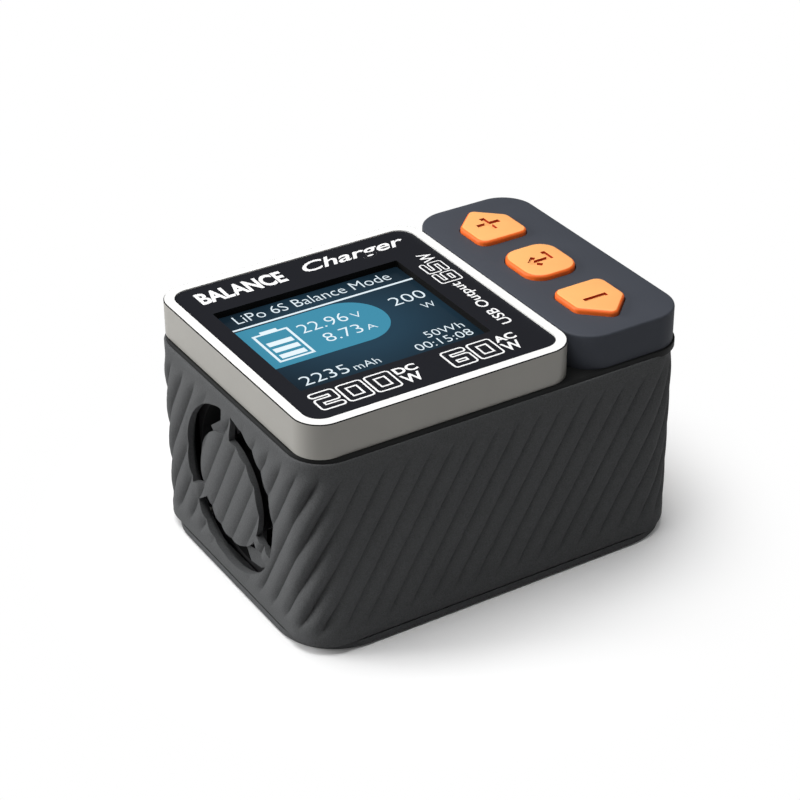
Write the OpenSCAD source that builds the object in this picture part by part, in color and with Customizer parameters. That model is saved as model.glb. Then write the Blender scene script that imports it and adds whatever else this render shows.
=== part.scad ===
// Balance battery charger: ribbed housing with a side fan, a display bezel and a pod with three keys.
// X runs to the right, Y to the back and Z up. The origin is on the ground, under the middle.

/* [Deck] */
// Length of the display bezel
bezel_l = 66; // [62:1:80]
// Length of the key pod beside it
pod_l = 29.1; // [27:0.1:36]
// Width of the deck, front to back
deck_w = 68; // [66:1:82]
// Height of the bezel and the pod
deck_h = 8.2; // [8:0.1:10]
// Gap between the bezel and the pod
deck_seam = 0.2; // [0.1:0.1:0.6]
// Corner radius of the bezel
bezel_r = 6.5; // [5:0.5:8]
// Corner radius of the pod
pod_r = 8; // [5:0.5:8]
// Width of the bezel's rim round the display panel
bezel_rim = 2.4; // [1.8:0.1:3]
// Wall of the pod
pod_wall = 2; // [1.5:0.1:2.5]
// Thickness of the pod's top
pod_top = 2.2; // [1.6:0.1:2.4]

/* [Display] */
// Length of the opening over the screen
screen_l = 46.7; // [38:0.1:48]
// Width of the opening over the screen
screen_w = 38.3; // [30:0.1:48]
// How far the screen sits left of the bezel's middle
screen_shift = 2.8; // [1:0.1:4]
// Thickness of the display panel
panel_t = 1.6; // [1:0.1:2]
// How far the panel lies below the rim
panel_drop = 0.3; // [0.1:0.1:0.6]
// Thickness of the cover glass on the screen
glass_t = 0.9; // [0.5:0.1:1.1]
// Margin of the glass beyond the opening
glass_margin = 1.6; // [1:0.1:2.4]

/* [Keys] */
// Length of each key, along the charger
key_l = 13.2; // [10:0.1:15]
// Width of the arrow keys, front to back
arrow_w = 15; // [12:0.1:16]
// Width of the middle key, front to back
enter_w = 14.4; // [12:0.1:16]
// Distance between neighbouring keys, middle to middle
key_pitch = 20.9; // [17:0.1:22]
// Corner radius of the keys
key_r = 2.2; // [1.5:0.1:3]
// How far the keys stand above the pod
key_proud = 1.2; // [0.8:0.1:1.6]
// How far a key travels
key_travel = 0.5; // [0.3:0.1:0.6]
// Gap round a key in the pod
key_gap = 0.25; // [0.15:0.05:0.4]
// Depth of the signs cut in the keys
sign_depth = 0.6; // [0.3:0.1:0.9]
// Line width of the signs
sign_stroke = 1.3; // [0.8:0.1:1.5]

/* [Housing] */
// How far the housing stands out beyond the deck
ledge = 1.25; // [0.8:0.05:2]
// Height of the ribbed housing
shell_h = 45.6; // [44:0.1:56]
// Wall of the housing
wall = 2.4; // [2:0.1:3]
// Corner radius of the housing
shell_r = 9; // [8:0.5:10]
// Thickness of the bottom cover
plinth_h = 1.5; // [1.2:0.1:2]
// Corner radius of the bottom cover
plinth_r = 14; // [12:0.5:15]
// Height of the dark band between the housing and the deck
band_h = 1.1; // [0.8:0.1:1.6]
// How far the rubber feet stand out
foot_proud = 0.5; // [0.3:0.1:1]
// Diameter of the rubber feet
foot_d = 8; // [6:0.5:10]

/* [Fan] */
// Side of the square fan frame
fan_s = 40; // [38:1:42]
// Depth of the fan frame
fan_t = 10; // [9:1:12]
// Distance between the fan's screws
fan_pitch = 32; // [30:1:34]
// Radius of the fan hub
hub_r = 11; // [9:0.5:12]
// Number of fan blades
blades = 7; // [5:1:9]
// Outer radius of the slots in the housing
grille_r = 19.2; // [17:0.1:19.5]
// Radius of the disc inside the slots
disc_r = 13; // [10:0.1:14]
// Width of the three bridges that hold the disc
bridge_w = 4; // [3:0.1:5]

/* [Ports] */
// Width of the two power connectors
power_w = 16.1; // [15:0.1:18]
// Height of the two power connectors
power_h = 8.2; // [7.5:0.1:9]
// Number of balance contacts
balance_ways = 7; // [5:1:7]
// Distance between balance contacts
balance_pitch = 2.5; // [2:0.1:2.54]
// Width of the mains inlet
inlet_w = 19; // [18:0.5:20]
// Height of the mains inlet
inlet_h = 11; // [10:0.5:12]

/* [Hidden] */
$fn = 64;
eps = 1;

// Clearances
fit_gap = 0.15;
slide_gap = 0.1;
shaft_gap = 0.03;
thread_gap = 0.05;
port_gap = 0.3;

// Heights, from the ground up
z_plinth = foot_proud;
z_shell = z_plinth + plinth_h;
z_rim = z_shell + shell_h;
z_deck = z_rim + band_h;
z_top = z_deck + deck_h;

// Plan of the deck and the housing
deck_l = bezel_l + deck_seam + pod_l;
shell_l = deck_l + 2 * ledge;
shell_w = deck_w + 2 * ledge;
inner_l = shell_l - 2 * wall;
inner_w = shell_w - 2 * wall;
inner_r = shell_r - wall;
bezel_x = (bezel_l - deck_l) / 2;
pod_x = (deck_l - pod_l) / 2;
seam_x = bezel_x + bezel_l / 2 + deck_seam / 2;

// Screws: shank radius, head radius and head height
m25_r = 1.25;
m25_head_r = 2.4;
m25_head_h = 1.6;
m2_r = 1;
m2_head_r = 1.9;
m2_head_h = 1.2;

// Corner columns of the housing
column_r = 4;
column_in = 4.4;
column_lift = 3;
column_x = inner_l / 2 - column_in;
column_y = inner_w / 2 - column_in;
cover_under = 1.4;
pad_r = 3.1;
counterbore_r = m25_head_r + 0.2;
screw_l = 6;
foot_x = shell_l / 2 - plinth_r;
foot_y = shell_w / 2 - plinth_r + 3;
foot_sink = 0.6;
lip_t = 1.2;
lip_h = 2.5;

// Boards
board_t = 1.6;
standoff_h = 3.5;
standoff_r = 2.6;
board_z = z_shell + standoff_h;
board_top = board_z + board_t;
fan_room = 13.4;
board_x0 = -inner_l / 2 + fan_room;
board_x1 = inner_l / 2 - 1;
board_w = inner_w - 2.7;
board_cx = (board_x0 + board_x1) / 2;
standoff_x0 = board_x0 + 3;
standoff_x1 = inner_l / 2 - 11.5;
standoff_y = board_w / 2 - 3.5;
standoffs = [
    [standoff_x0, standoff_y], [standoff_x0, -standoff_y],
    [standoff_x1, standoff_y], [standoff_x1, -standoff_y]
];
control_lift = 1;
control_z = z_deck + control_lift;
control_top = control_z + board_t;
control_in_x = 3.2;
control_in_y = 5.8;
control_l = deck_l - 2 * control_in_x;
control_w = deck_w - 2 * control_in_y;
control_screw_y = control_w / 2 - 3;
control_screws_x = [bezel_x - bezel_l / 2 + 13, bezel_x + bezel_l / 2 - 6, pod_x - pod_l / 2 + 4.6];
boss_r = 2.4;
passage_h = control_lift + board_t + 0.6;
passage_w = control_w + 2 * fit_gap;

// Display stack, from the panel down to the board
panel_z = z_top - panel_drop - panel_t;
panel_l = bezel_l - 2 * bezel_rim - 2 * fit_gap;
panel_w = deck_w - 2 * bezel_rim - 2 * fit_gap;
panel_r = bezel_r - bezel_rim;
rest_w = 1.2;
rest_h = 1.2;
screen_x = bezel_x - screen_shift;
glass_l = screen_l + 2 * glass_margin;
glass_w = screen_w + 2 * glass_margin;
glass_z = panel_z - glass_t;
tray_wall = 0.4;
module_h = glass_z - control_top - tray_wall;

// Keys and their switches
key_flange = 0.9;
key_flange_h = 0.9;
key_top = z_top + key_proud;
flange_top = z_top - pod_top - slide_gap;
flange_z = flange_top - key_flange_h;
switch_s = 6;
switch_h = flange_z - control_top - key_travel - 0.3;
plunger_r = 1.6;
plunger_z = flange_z - key_travel - 1;
arrow_shoulder = 0.42 * arrow_w;
key_x = pod_x - 1.2;

// Fan
fan_z = (z_shell + z_rim) / 2;
fan_standoff = 1.5;
fan_x = -inner_l / 2 + fan_standoff;
fan_bore = fan_s / 2 - 1;
blade_r = fan_bore - 0.6;
fan_base_t = 1.5;
rotor_z = fan_base_t + 0.8;
rotor_h = fan_t - rotor_z - 0.6;
hub_wall = 1.2;
shaft_r = 1;
bearing_r = 2.2;
bearing_tube_r = 3.2;
bearing_l = rotor_h - 1.4;
strut_w = 2;

// Ports
port_sink = 0.3;
power_depth = 16.7;
power_cut = 2.2;
power_wall = 1.1;
power_pitch = 7.2;
power_pin_r = 1.75;
power_mouth = 9.5;
balance_w = balance_ways * balance_pitch + 3;
balance_h = 6.1;
balance_depth = 11.5;
usb_w = 9;
usb_h = 3.2;
usb_depth = 7.4;
usb_board_z = board_top + 15;
right_face = shell_l / 2 - port_sink;
back_face = shell_w / 2 - port_sink;
output_y = -14;
balance_y = 9.5;
usb_y = 9.5;
inlet_clear = 0.7;
inlet_x = standoff_x0 + m2_head_r + inlet_clear + inlet_w / 2;
inlet_depth = 15;
inlet_mouth = 11.5;
input_x = 14;
vent_w = 2;
vent_h = 13;
vent_count = 9;
vent_pitch = 4;
vent_z = z_rim - 22;

// Shapes -----------------------------------------------------------------

// A box with round vertical edges, standing on the plane z = 0
module slab(l, w, h, r) {
    translate([r - l / 2, -w / 2, 0]) cube([l - 2 * r, w, h]);
    translate([-l / 2, r - w / 2, 0]) cube([l, w - 2 * r, h]);
    for (x = [-1, 1], y = [-1, 1])
        translate([x * (l / 2 - r), y * (w / 2 - r), 0]) cylinder(h = h, r = r);
}

// A slab with its middle cut out
module hoop(l, w, h, r, t) {
    difference() {
        slab(l, w, h, r);
        translate([0, 0, -eps]) slab(l - 2 * t, w - 2 * t, h + 2 * eps, r - t);
    }
}

// A box centred in X and Y
module block(l, w, h) {
    translate([-l / 2, -w / 2, 0]) cube([l, w, h]);
}

// A pan head screw that points down, with its head's seat at z = 0
module screw(shank_r, head_r, head_h, l) {
    difference() {
        cylinder(h = head_h, r = head_r);
        for (a = [0, 90])
            translate([0, 0, head_h - 0.7]) rotate([0, 0, a]) block(head_r * 1.2, 0.5, eps);
    }
    translate([0, 0, -l]) cylinder(h = l + 0.2, r = shank_r);
}

// Places things on the four corner columns
module at_columns() {
    for (x = [-1, 1], y = [-1, 1])
        translate([x * column_x, y * column_y, 0]) children();
}

// Turns a part that faces +Z so that it faces right or back, with its height upwards
module facing_right(y, z) {
    translate([right_face, y, z]) rotate([90, 0, 90]) children();
}
module facing_back(x, z) {
    translate([x, back_face, z]) rotate([90, 0, 180]) children();
}

// Turns a part whose axis is Z so that it lies along the fan's axis
module on_fan_axis() {
    translate([fan_x, 0, fan_z]) rotate([0, 90, 0]) children();
}
module at_fan_screws() {
    for (y = [-1, 1], z = [-1, 1])
        translate([z * fan_pitch / 2, y * fan_pitch / 2, 0]) children();
}

// Outline of a power connector: a rectangle with two corners cut off
module power_outline(grow) {
    w = power_w / 2 + grow;
    h = power_h / 2 + grow;
    cut_x = w - power_cut;
    cut_y = h - power_cut;
    polygon([[-w, -h], [cut_x, -h], [w, -cut_y], [w, cut_y], [cut_x, h], [-w, h]]);
}

// A convex outline with round corners, from the centres of the corners
module rounded_outline(points, r) {
    hull() for (p = points)
        translate(p) circle(r = r, $fn = 32);
}

// Corner centres of an arrow key that points to +Y, and of the middle key
arrow_points = [
    [key_r - key_l / 2, key_r - arrow_w / 2], [key_l / 2 - key_r, key_r - arrow_w / 2],
    [key_l / 2 - key_r, arrow_shoulder - key_r - 2], [0, arrow_w / 2 - key_r - 0.1],
    [key_r - key_l / 2, arrow_shoulder - key_r - 2]
];
enter_r = 2 * key_r;
enter_points = [for (p = [[-1, -1], [1, -1], [1, 1], [-1, 1]])
    [p.x * (key_l / 2 - enter_r), p.y * (enter_w / 2 - enter_r)]];

// Puts a key's parts in place: the first key is at the back and the third is turned round
module at_key(place) {
    translate([key_x, (1 - place) * key_pitch, 0]) rotate([0, 0, place == 2 ? 180 : 0]) children();
}
module key_outline(place, grow) {
    if (place == 1) rounded_outline(enter_points, enter_r + grow);
    else rounded_outline(arrow_points, key_r + grow);
}
module key_body(place) {
    difference() {
        union() {
            translate([0, 0, flange_z]) linear_extrude(key_flange_h) key_outline(place, key_flange);
            translate([0, 0, flange_z]) linear_extrude(key_top - flange_z) key_outline(place, 0);
        }
        translate([0, 0, key_top - sign_depth]) linear_extrude(eps + sign_depth) key_sign(place);
    }
}

// Signs: plus on the first key, return arrow on the second, minus on the third
sign_l = 6;
module key_sign(place) {
    if (place == 1) {
        square([sign_l, sign_stroke], center = true);
        translate([sign_l / 2 - sign_stroke, 0]) square([sign_stroke, sign_l / 2]);
        polygon([[-sign_l / 2 - 0.6, 0], [-sign_l / 6, -sign_l / 3], [-sign_l / 6, sign_l / 3]]);
    } else {
        square([sign_l, sign_stroke], center = true);
        if (place == 0) square([sign_stroke, sign_l], center = true);
    }
}

// Housing ----------------------------------------------------------------

module corner_columns() {
    at_columns() translate([0, 0, z_shell + column_lift])
        cylinder(h = shell_h - column_lift - cover_under, r = column_r);
}
module column_bores() {
    at_columns() {
        translate([0, 0, z_shell + column_lift - eps])
            cylinder(h = screw_l + eps + 1, r = m25_r + thread_gap);
        translate([0, 0, z_rim - cover_under - screw_l - 2])
            cylinder(h = screw_l + 2 + eps, r = m25_r + thread_gap);
    }
}
module grille_slots() {
    translate([-shell_l / 2 - eps, 0, fan_z]) rotate([0, 90, 0]) difference() {
        cylinder(h = wall + 2 * eps, r = grille_r);
        translate([0, 0, -eps]) cylinder(h = wall + 4 * eps, r = disc_r);
        for (a = [60, 180, 300])
            rotate([0, 0, a]) translate([0, -bridge_w / 2, -eps])
                cube([grille_r + eps, bridge_w, wall + 4 * eps]);
    }
}
module port_openings() {
    facing_right(output_y, board_top + power_h / 2)
        translate([0, 0, -wall - eps]) linear_extrude(wall + 3 * eps) power_outline(port_gap);
    facing_right(balance_y, board_top + balance_h / 2)
        translate([0, 0, -wall - eps]) linear_extrude(wall + 3 * eps)
            square([balance_w + 2 * port_gap, balance_h + 2 * port_gap], center = true);
    facing_right(usb_y, usb_board_z + board_t + usb_h / 2)
        translate([0, 0, -wall - eps]) linear_extrude(wall + 3 * eps)
            square([usb_w + 2 * port_gap, usb_h + 2 * port_gap], center = true);
    facing_back(input_x, board_top + power_h / 2)
        translate([0, 0, -wall - eps]) linear_extrude(wall + 3 * eps) power_outline(port_gap);
    facing_back(inlet_x, board_top + inlet_h / 2)
        translate([0, 0, -wall - eps]) linear_extrude(wall + 3 * eps)
            square([inlet_w + 2 * port_gap, inlet_h + 2 * port_gap], center = true);
}
module back_vents() {
    for (i = [0:vent_count - 1])
        translate([input_x + (i - (vent_count - 1) / 2) * vent_pitch, inner_w / 2 - eps, vent_z])
            translate([-vent_w / 2, 0, 0]) cube([vent_w, wall + 2 * eps, vent_h]);
}
module lower_shell() {
    color("dimgray") difference() {
        union() {
            translate([0, 0, z_shell]) hoop(shell_l, shell_w, shell_h, shell_r, wall);
            corner_columns();
            on_fan_axis() at_fan_screws()
                translate([0, 0, -fan_standoff - wall / 2]) cylinder(h = fan_standoff + wall / 2, r = 3);
        }
        column_bores();
        grille_slots();
        on_fan_axis() at_fan_screws()
            translate([0, 0, -fan_standoff - 0.9]) cylinder(h = fan_standoff + 2, r = m25_r + thread_gap);
        port_openings();
        back_vents();
    }
}

module bottom_cover() {
    color("dimgray") difference() {
        union() {
            translate([0, 0, z_plinth]) slab(shell_l, shell_w, plinth_h, plinth_r);
            translate([0, 0, z_shell])
                hoop(inner_l - 2 * fit_gap, inner_w - 2 * fit_gap, lip_h, inner_r - fit_gap, lip_t);
            at_columns() translate([0, 0, z_shell - plinth_h / 2])
                cylinder(h = column_lift + plinth_h / 2, r = pad_r);
        }
        at_columns() {
            translate([0, 0, z_plinth - eps]) cylinder(h = 2 + eps, r = counterbore_r);
            translate([0, 0, z_plinth]) cylinder(h = plinth_h + column_lift + eps, r = m25_r + slide_gap);
        }
        for (x = [-1, 1], y = [-1, 1])
            translate([x * foot_x, y * foot_y, z_plinth - eps])
                cylinder(h = foot_sink + eps, r = foot_d / 2 + slide_gap);
    }
}
module bottom_screws() {
    color("silver") at_columns() translate([0, 0, z_plinth + 2]) rotate([180, 0, 0])
        screw(m25_r, m25_head_r, m25_head_h, plinth_h + column_lift - 2 + screw_l);
}
module rubber_feet() {
    color("black") for (x = [-1, 1], y = [-1, 1])
        translate([x * foot_x, y * foot_y, 0]) cylinder(h = foot_proud + foot_sink, r = foot_d / 2);
}

// Black wedge that fills the notch between the round corners of the bezel and the pod
module seam_wedge(side) {
    notch = 3.4;
    difference() {
        translate([seam_x - notch, side * (deck_w / 2 - 3.8) - 1.8, z_deck - band_h / 2])
            cube([2 * notch, 3.6, deck_h - 1]);
        translate([bezel_x, 0, z_deck - eps])
            slab(bezel_l + 2 * slide_gap, deck_w + 2 * slide_gap, deck_h + 2 * eps, bezel_r + slide_gap);
        translate([pod_x, 0, z_deck - eps])
            slab(pod_l + 2 * slide_gap, deck_w + 2 * slide_gap, deck_h + 2 * eps, pod_r + slide_gap);
    }
}
module at_control_screws() {
    for (x = control_screws_x, y = [-1, 1])
        translate([x, y * control_screw_y, 0]) children();
}
cable_x = inner_l / 2 - 17.5;
cable_y = -14;
cable_w = 12;
cable_t = 0.6;
plug_l = inner_l - 2 * fit_gap;
plug_w = inner_w - 2 * fit_gap;
module top_cover() {
    color([0.07, 0.07, 0.07]) difference() {
        union() {
            translate([0, 0, z_rim]) slab(deck_l - 0.6, deck_w - 0.6, band_h, bezel_r);
            translate([0, 0, z_rim - cover_under])
                slab(plug_l, plug_w, cover_under + band_h / 2, inner_r - fit_gap);
            at_control_screws() translate([0, 0, z_rim]) cylinder(h = control_z - z_rim, r = boss_r);
            for (side = [-1, 1]) seam_wedge(side);
        }
        at_columns() {
            translate([0, 0, z_deck - m25_head_h - 0.1]) cylinder(h = m25_head_h + eps, r = counterbore_r);
            translate([0, 0, z_rim - cover_under - eps]) cylinder(h = 4 * eps, r = m25_r + slide_gap);
        }
        at_control_screws() translate([0, 0, z_rim - cover_under + 0.5])
            cylinder(h = 5, r = m2_r + thread_gap);
        translate([cable_x, cable_y, z_rim - cover_under - eps]) block(4, cable_w + 4, 6);
    }
}
module cover_screws() {
    color("silver") at_columns() translate([0, 0, z_deck - m25_head_h - 0.1])
        screw(m25_r, m25_head_r, m25_head_h, screw_l + 2);
}

// Deck -------------------------------------------------------------------

module board_passage() {
    translate([seam_x, 0, z_deck - eps]) block(4 * bezel_rim, passage_w, passage_h + eps);
}
module display_bezel() {
    color("silver") difference() {
        translate([bezel_x, 0, z_deck]) union() {
            hoop(bezel_l, deck_w, deck_h, bezel_r, bezel_rim);
            translate([0, 0, panel_z - rest_h - z_deck])
                hoop(bezel_l - bezel_rim, deck_w - bezel_rim, rest_h, bezel_r - bezel_rim / 2,
                     bezel_rim / 2 + rest_w);
        }
        board_passage();
    }
}
module display_panel() {
    color([0.12, 0.12, 0.13]) difference() {
        translate([bezel_x, 0, panel_z]) slab(panel_l, panel_w, panel_t, panel_r - fit_gap);
        translate([screen_x, 0, panel_z - eps]) block(screen_l, screen_w, panel_t + 2 * eps);
    }
}
module screen_glass() {
    color([0.1, 0.2, 0.27]) translate([screen_x, 0, glass_z]) block(glass_l, glass_w, glass_t);
}
module screen_module() {
    color([0.2, 0.3, 0.36]) translate([screen_x, 0, control_top + tray_wall])
        block(glass_l, glass_w, module_h);
}
module screen_tray() {
    color("silver") translate([screen_x, 0, control_top]) difference() {
        block(glass_l + 2 * tray_wall + 2 * fit_gap, glass_w + 2 * tray_wall + 2 * fit_gap,
              module_h + tray_wall);
        translate([0, 0, tray_wall]) block(glass_l + 2 * fit_gap, glass_w + 2 * fit_gap, module_h + eps);
    }
}
module control_board() {
    color("darkgreen") difference() {
        translate([0, 0, control_z]) slab(control_l, control_w, board_t, 3);
        at_control_screws() translate([0, 0, control_z - eps])
            cylinder(h = board_t + 2 * eps, r = m2_r + slide_gap);
    }
}
module control_screws() {
    color("silver") at_control_screws() translate([0, 0, control_top])
        screw(m2_r, m2_head_r, m2_head_h, board_t + control_lift + band_h);
}
module control_chips() {
    color([0.1, 0.1, 0.1]) translate([bezel_x + bezel_l / 2 - 6.3, 0, control_top]) {
        block(7, 7, 1);
        translate([0, 12, 0]) block(4, 5, 1.2);
        translate([0, -12, 0]) block(5, 4, 1.4);
    }
}
module button_pod() {
    color([0.3, 0.31, 0.33]) difference() {
        translate([pod_x, 0, z_deck]) slab(pod_l, deck_w, deck_h, pod_r);
        translate([pod_x, 0, z_deck - eps])
            slab(pod_l - 2 * pod_wall, deck_w - 2 * pod_wall, deck_h - pod_top + eps, pod_r - pod_wall);
        for (place = [0, 1, 2])
            at_key(place) translate([0, 0, z_top - pod_top - eps])
                linear_extrude(pod_top + 2 * eps) key_outline(place, key_gap);
        board_passage();
    }
}
module up_key() { color("darkorange") at_key(0) key_body(0); }
module enter_key() { color("darkorange") at_key(1) key_body(1); }
module down_key() { color("darkorange") at_key(2) key_body(2); }

module plunger(place) {
    at_key(place) translate([0, 0, plunger_z]) cylinder(h = flange_z - plunger_z, r = plunger_r);
}
module up_plunger() { color("ivory") plunger(0); }
module enter_plunger() { color("ivory") plunger(1); }
module down_plunger() { color("ivory") plunger(2); }

module switch_body(place) {
    at_key(place) difference() {
        translate([0, 0, control_top]) block(switch_s, switch_s, switch_h);
        translate([0, 0, plunger_z - key_travel - 0.1]) cylinder(h = 3, r = plunger_r + slide_gap);
    }
}
module up_switch() { color("gray") switch_body(0); }
module enter_switch() { color("gray") switch_body(1); }
module down_switch() { color("gray") switch_body(2); }

// Power board --------------------------------------------------------------

module board_corner_cuts() {
    cut = 2 * (column_r + column_in);
    for (y = [-1, 1])
        translate([inner_l / 2, y * inner_w / 2, board_z - eps]) block(cut, cut, board_t + 2 * eps);
}
module power_board() {
    color("darkgreen") difference() {
        translate([board_cx, 0, board_z]) block(board_x1 - board_x0, board_w, board_t);
        board_corner_cuts();
        for (p = standoffs)
            translate([p.x, p.y, board_z - eps]) cylinder(h = board_t + 2 * eps, r = m25_r + slide_gap);
    }
}
module board_standoffs() {
    color("goldenrod") for (p = standoffs) translate([p.x, p.y, z_shell]) difference() {
        cylinder(h = standoff_h, r = standoff_r, $fn = 6);
        translate([0, 0, -eps]) cylinder(h = standoff_h + 2 * eps, r = m25_r + thread_gap);
    }
}
module board_screws() {
    color("silver") for (p = standoffs)
        translate([p.x, p.y, board_top]) screw(m25_r, m25_head_r, m25_head_h, board_t + standoff_h - 0.3);
}
module insulation_sheet() {
    color([0.9, 0.9, 0.8]) difference() {
        translate([board_cx, 0, board_z - 0.4]) block(board_x1 - board_x0, board_w, 0.3);
        board_corner_cuts();
        for (p = standoffs)
            translate([p.x, p.y, board_z - eps]) cylinder(h = 2 * eps, r = standoff_r + port_gap);
    }
}

// Transformer: an E core round a taped winding, on a base with its pins
core_l = 26;
core_w = 9;
core_h = 22;
core_leg = 4;
core_mid = 8;
base_h = 2;
transformer_x = -1;
transformer_y = 2;
module at_transformer() {
    translate([transformer_x, transformer_y, board_top]) children();
}
module transformer_core() {
    color([0.2, 0.2, 0.2]) at_transformer() translate([0, 0, base_h]) {
        difference() {
            block(core_l, core_w, core_h);
            translate([0, 0, core_leg])
                block(core_l - 2 * core_leg, core_w + 2 * eps, core_h - 2 * core_leg);
        }
        block(core_mid, core_w, core_h);
    }
}
module transformer_winding() {
    color([0.85, 0.7, 0.2]) at_transformer() translate([0, 0, base_h + core_leg + fit_gap]) difference() {
        slab(core_l - 2 * core_leg - 2 * fit_gap, core_w + 14, core_h - 2 * core_leg - 2 * fit_gap, 3);
        translate([0, 0, -eps]) block(core_mid + 2 * fit_gap, core_w + 2 * fit_gap, core_h);
    }
}
module transformer_base() {
    color([0.1, 0.1, 0.1]) at_transformer() {
        block(core_l - 2, core_w + 13, base_h);
        for (y = [-1, 1])
            translate([0, y * (core_w / 2 + 4), base_h]) block(core_l - 2 * core_leg - 1, 4, core_leg);
    }
}

module can(r, h) {
    cylinder(h = h, r = r);
    translate([0, 0, h]) cylinder(h = 0.4, r = r - 0.8);
}
module mains_capacitor() {
    color([0.15, 0.2, 0.35]) translate([board_x0 + 9, -4, board_top]) can(8, 28);
}
module output_capacitors() {
    color([0.15, 0.15, 0.15]) for (i = [0:2])
        translate([i * 10 - 6, 4.4 - board_w / 2, board_top]) can(4, 14);
}
module film_capacitor() {
    color("gold") translate([inlet_x + 16.8, board_w / 2 - 7.5, board_top]) slab(9, 13, 12, 1);
}
module filter_choke() {
    color([0.6, 0.35, 0.15]) translate([board_x0 + 9, 10, board_top]) {
        difference() {
            slab(13, 9, 16, 1.5);
            translate([0, -5, 9.5]) rotate([-90, 0, 0]) cylinder(h = 10, r = 2.4);
        }
    }
}
fuse_x = inner_l / 2 - 17;
module mains_fuse() {
    color("ivory") translate([fuse_x, 12, board_top + 3.4]) rotate([-90, 0, 0]) {
        cylinder(h = 17, r = 2.3);
        for (y = [1.5, 11.5])
            translate([-2.3, 0, y]) cube([4.6, 3.4, 4]);
    }
}

// Ring coils: [place, outer radius]
coils = [[[-21.5, -22.5], 7.3], [[23.6, -26], 5]];
coil_h = 6;
coil_turns = 12;
wire_t = 0.7;
module coil_ring(r, grow) {
    difference() {
        translate([0, 0, -grow]) cylinder(h = coil_h + 2 * grow, r = r - wire_t + grow);
        translate([0, 0, -eps]) cylinder(h = coil_h + 2 * eps, r = r / 2 - grow);
    }
}
module coil_cores() {
    color([0.75, 0.7, 0.2]) for (c = coils)
        translate([c[0].x, c[0].y, board_top + wire_t]) coil_ring(c[1], 0);
}
module coil_windings() {
    color([0.72, 0.4, 0.15]) for (c = coils) translate([c[0].x, c[0].y, board_top]) difference() {
        for (i = [0:coil_turns - 1]) rotate([0, 0, i * 360 / coil_turns])
            translate([c[1] / 2 - wire_t, -0.4, 0]) cube([c[1] / 2 + wire_t / 2, 0.8, coil_h + 2 * wire_t]);
        translate([0, 0, wire_t]) coil_ring(c[1], slide_gap);
    }
}

// Heat sinks with the transistors clamped to them
sink_h = 26;
transistor_l = 10;
transistor_t = 4.4;
transistor_h = 15.5;
leg_h = 5;
front_sink_y = -19;
front_sink_x = 2;
front_sink_l = 31;
side_sink_x = 17;
side_sink_w = 24;
side_sink_y = 2;
module charge_heat_sink() {
    color("silver") translate([front_sink_x, front_sink_y, board_top]) {
        translate([-front_sink_l / 2, 0, 0]) cube([front_sink_l, 2, sink_h]);
        for (i = [0:4])
            translate([-front_sink_l / 2, -2.5, 3 + i * 5]) cube([front_sink_l, 2.6, 1.2]);
    }
}
module supply_heat_sink() {
    color("silver") translate([side_sink_x, side_sink_y - side_sink_w / 2, board_top]) {
        cube([2, side_sink_w, sink_h]);
        for (i = [0:4])
            translate([1.9, i * (side_sink_w - 1.2) / 4, 0]) cube([6.6, 1.2, sink_h]);
    }
}
module transistor() {
    translate([0, 0, leg_h]) block(transistor_l, transistor_t, transistor_h);
    for (x = [-1, 0, 1])
        translate([2.54 * x, 0, 0]) block(0.8, 0.6, leg_h + 0.1);
}
transistor_pitch = transistor_l + 0.2;
module power_transistors() {
    color([0.1, 0.1, 0.1]) {
        for (i = [-1, 0, 1])
            translate([front_sink_x + transistor_pitch * i, front_sink_y + 2 + transistor_t / 2, board_top])
                transistor();
        for (i = [-1, 1])
            translate([side_sink_x - transistor_t / 2, side_sink_y + 6 * i, board_top])
                rotate([0, 0, 90]) transistor();
    }
}

module ribbon_socket() {
    color("ivory") translate([cable_x, cable_y, board_top]) block(3, cable_w + 2, 4);
}
module ribbon_cable() {
    color("lightgray") translate([cable_x, cable_y, board_top + 4])
        block(cable_t, cable_w, control_z - board_top - 4);
}
module buzzer() {
    color([0.05, 0.05, 0.05]) translate([inner_l / 2 - 15, 0.6, board_top]) difference() {
        cylinder(h = 5, r = 4.5);
        translate([0, 0, 4]) cylinder(h = 2, r = 1);
    }
}

// Fan ----------------------------------------------------------------------

module fan_frame() {
    color([0.08, 0.08, 0.08]) on_fan_axis() difference() {
        union() {
            difference() {
                slab(fan_s, fan_s, fan_t, 3);
                translate([0, 0, -eps]) cylinder(h = fan_t + 2 * eps, r = fan_bore);
            }
            cylinder(h = fan_base_t, r = hub_r);
            cylinder(h = fan_base_t + bearing_l, r = bearing_tube_r);
            for (a = [30, 150, 270])
                rotate([0, 0, a]) translate([hub_r - 1, -strut_w / 2, 0])
                    cube([fan_bore - hub_r + 2, strut_w, fan_base_t]);
        }
        translate([0, 0, fan_base_t]) cylinder(h = fan_t, r = bearing_r + 0.02);
        at_fan_screws() translate([0, 0, -eps]) cylinder(h = fan_t + 2 * eps, r = m25_r + 0.3);
    }
}
module fan_bearing() {
    color("goldenrod") on_fan_axis() translate([0, 0, fan_base_t]) difference() {
        cylinder(h = bearing_l, r = bearing_r);
        translate([0, 0, -eps]) cylinder(h = bearing_l + 2 * eps, r = shaft_r + shaft_gap);
    }
}
module fan_stator() {
    color([0.7, 0.4, 0.2]) on_fan_axis() translate([0, 0, fan_base_t]) difference() {
        cylinder(h = bearing_l - 0.4, r = hub_r - hub_wall - 0.8);
        translate([0, 0, -eps]) cylinder(h = bearing_l + eps, r = bearing_tube_r + 0.02);
        for (i = [0:3]) rotate([0, 0, 45 + 90 * i]) translate([bearing_tube_r + 1.5, -0.8, -eps])
            cube([hub_r, 1.6, bearing_l + 2 * eps]);
    }
}
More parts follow.
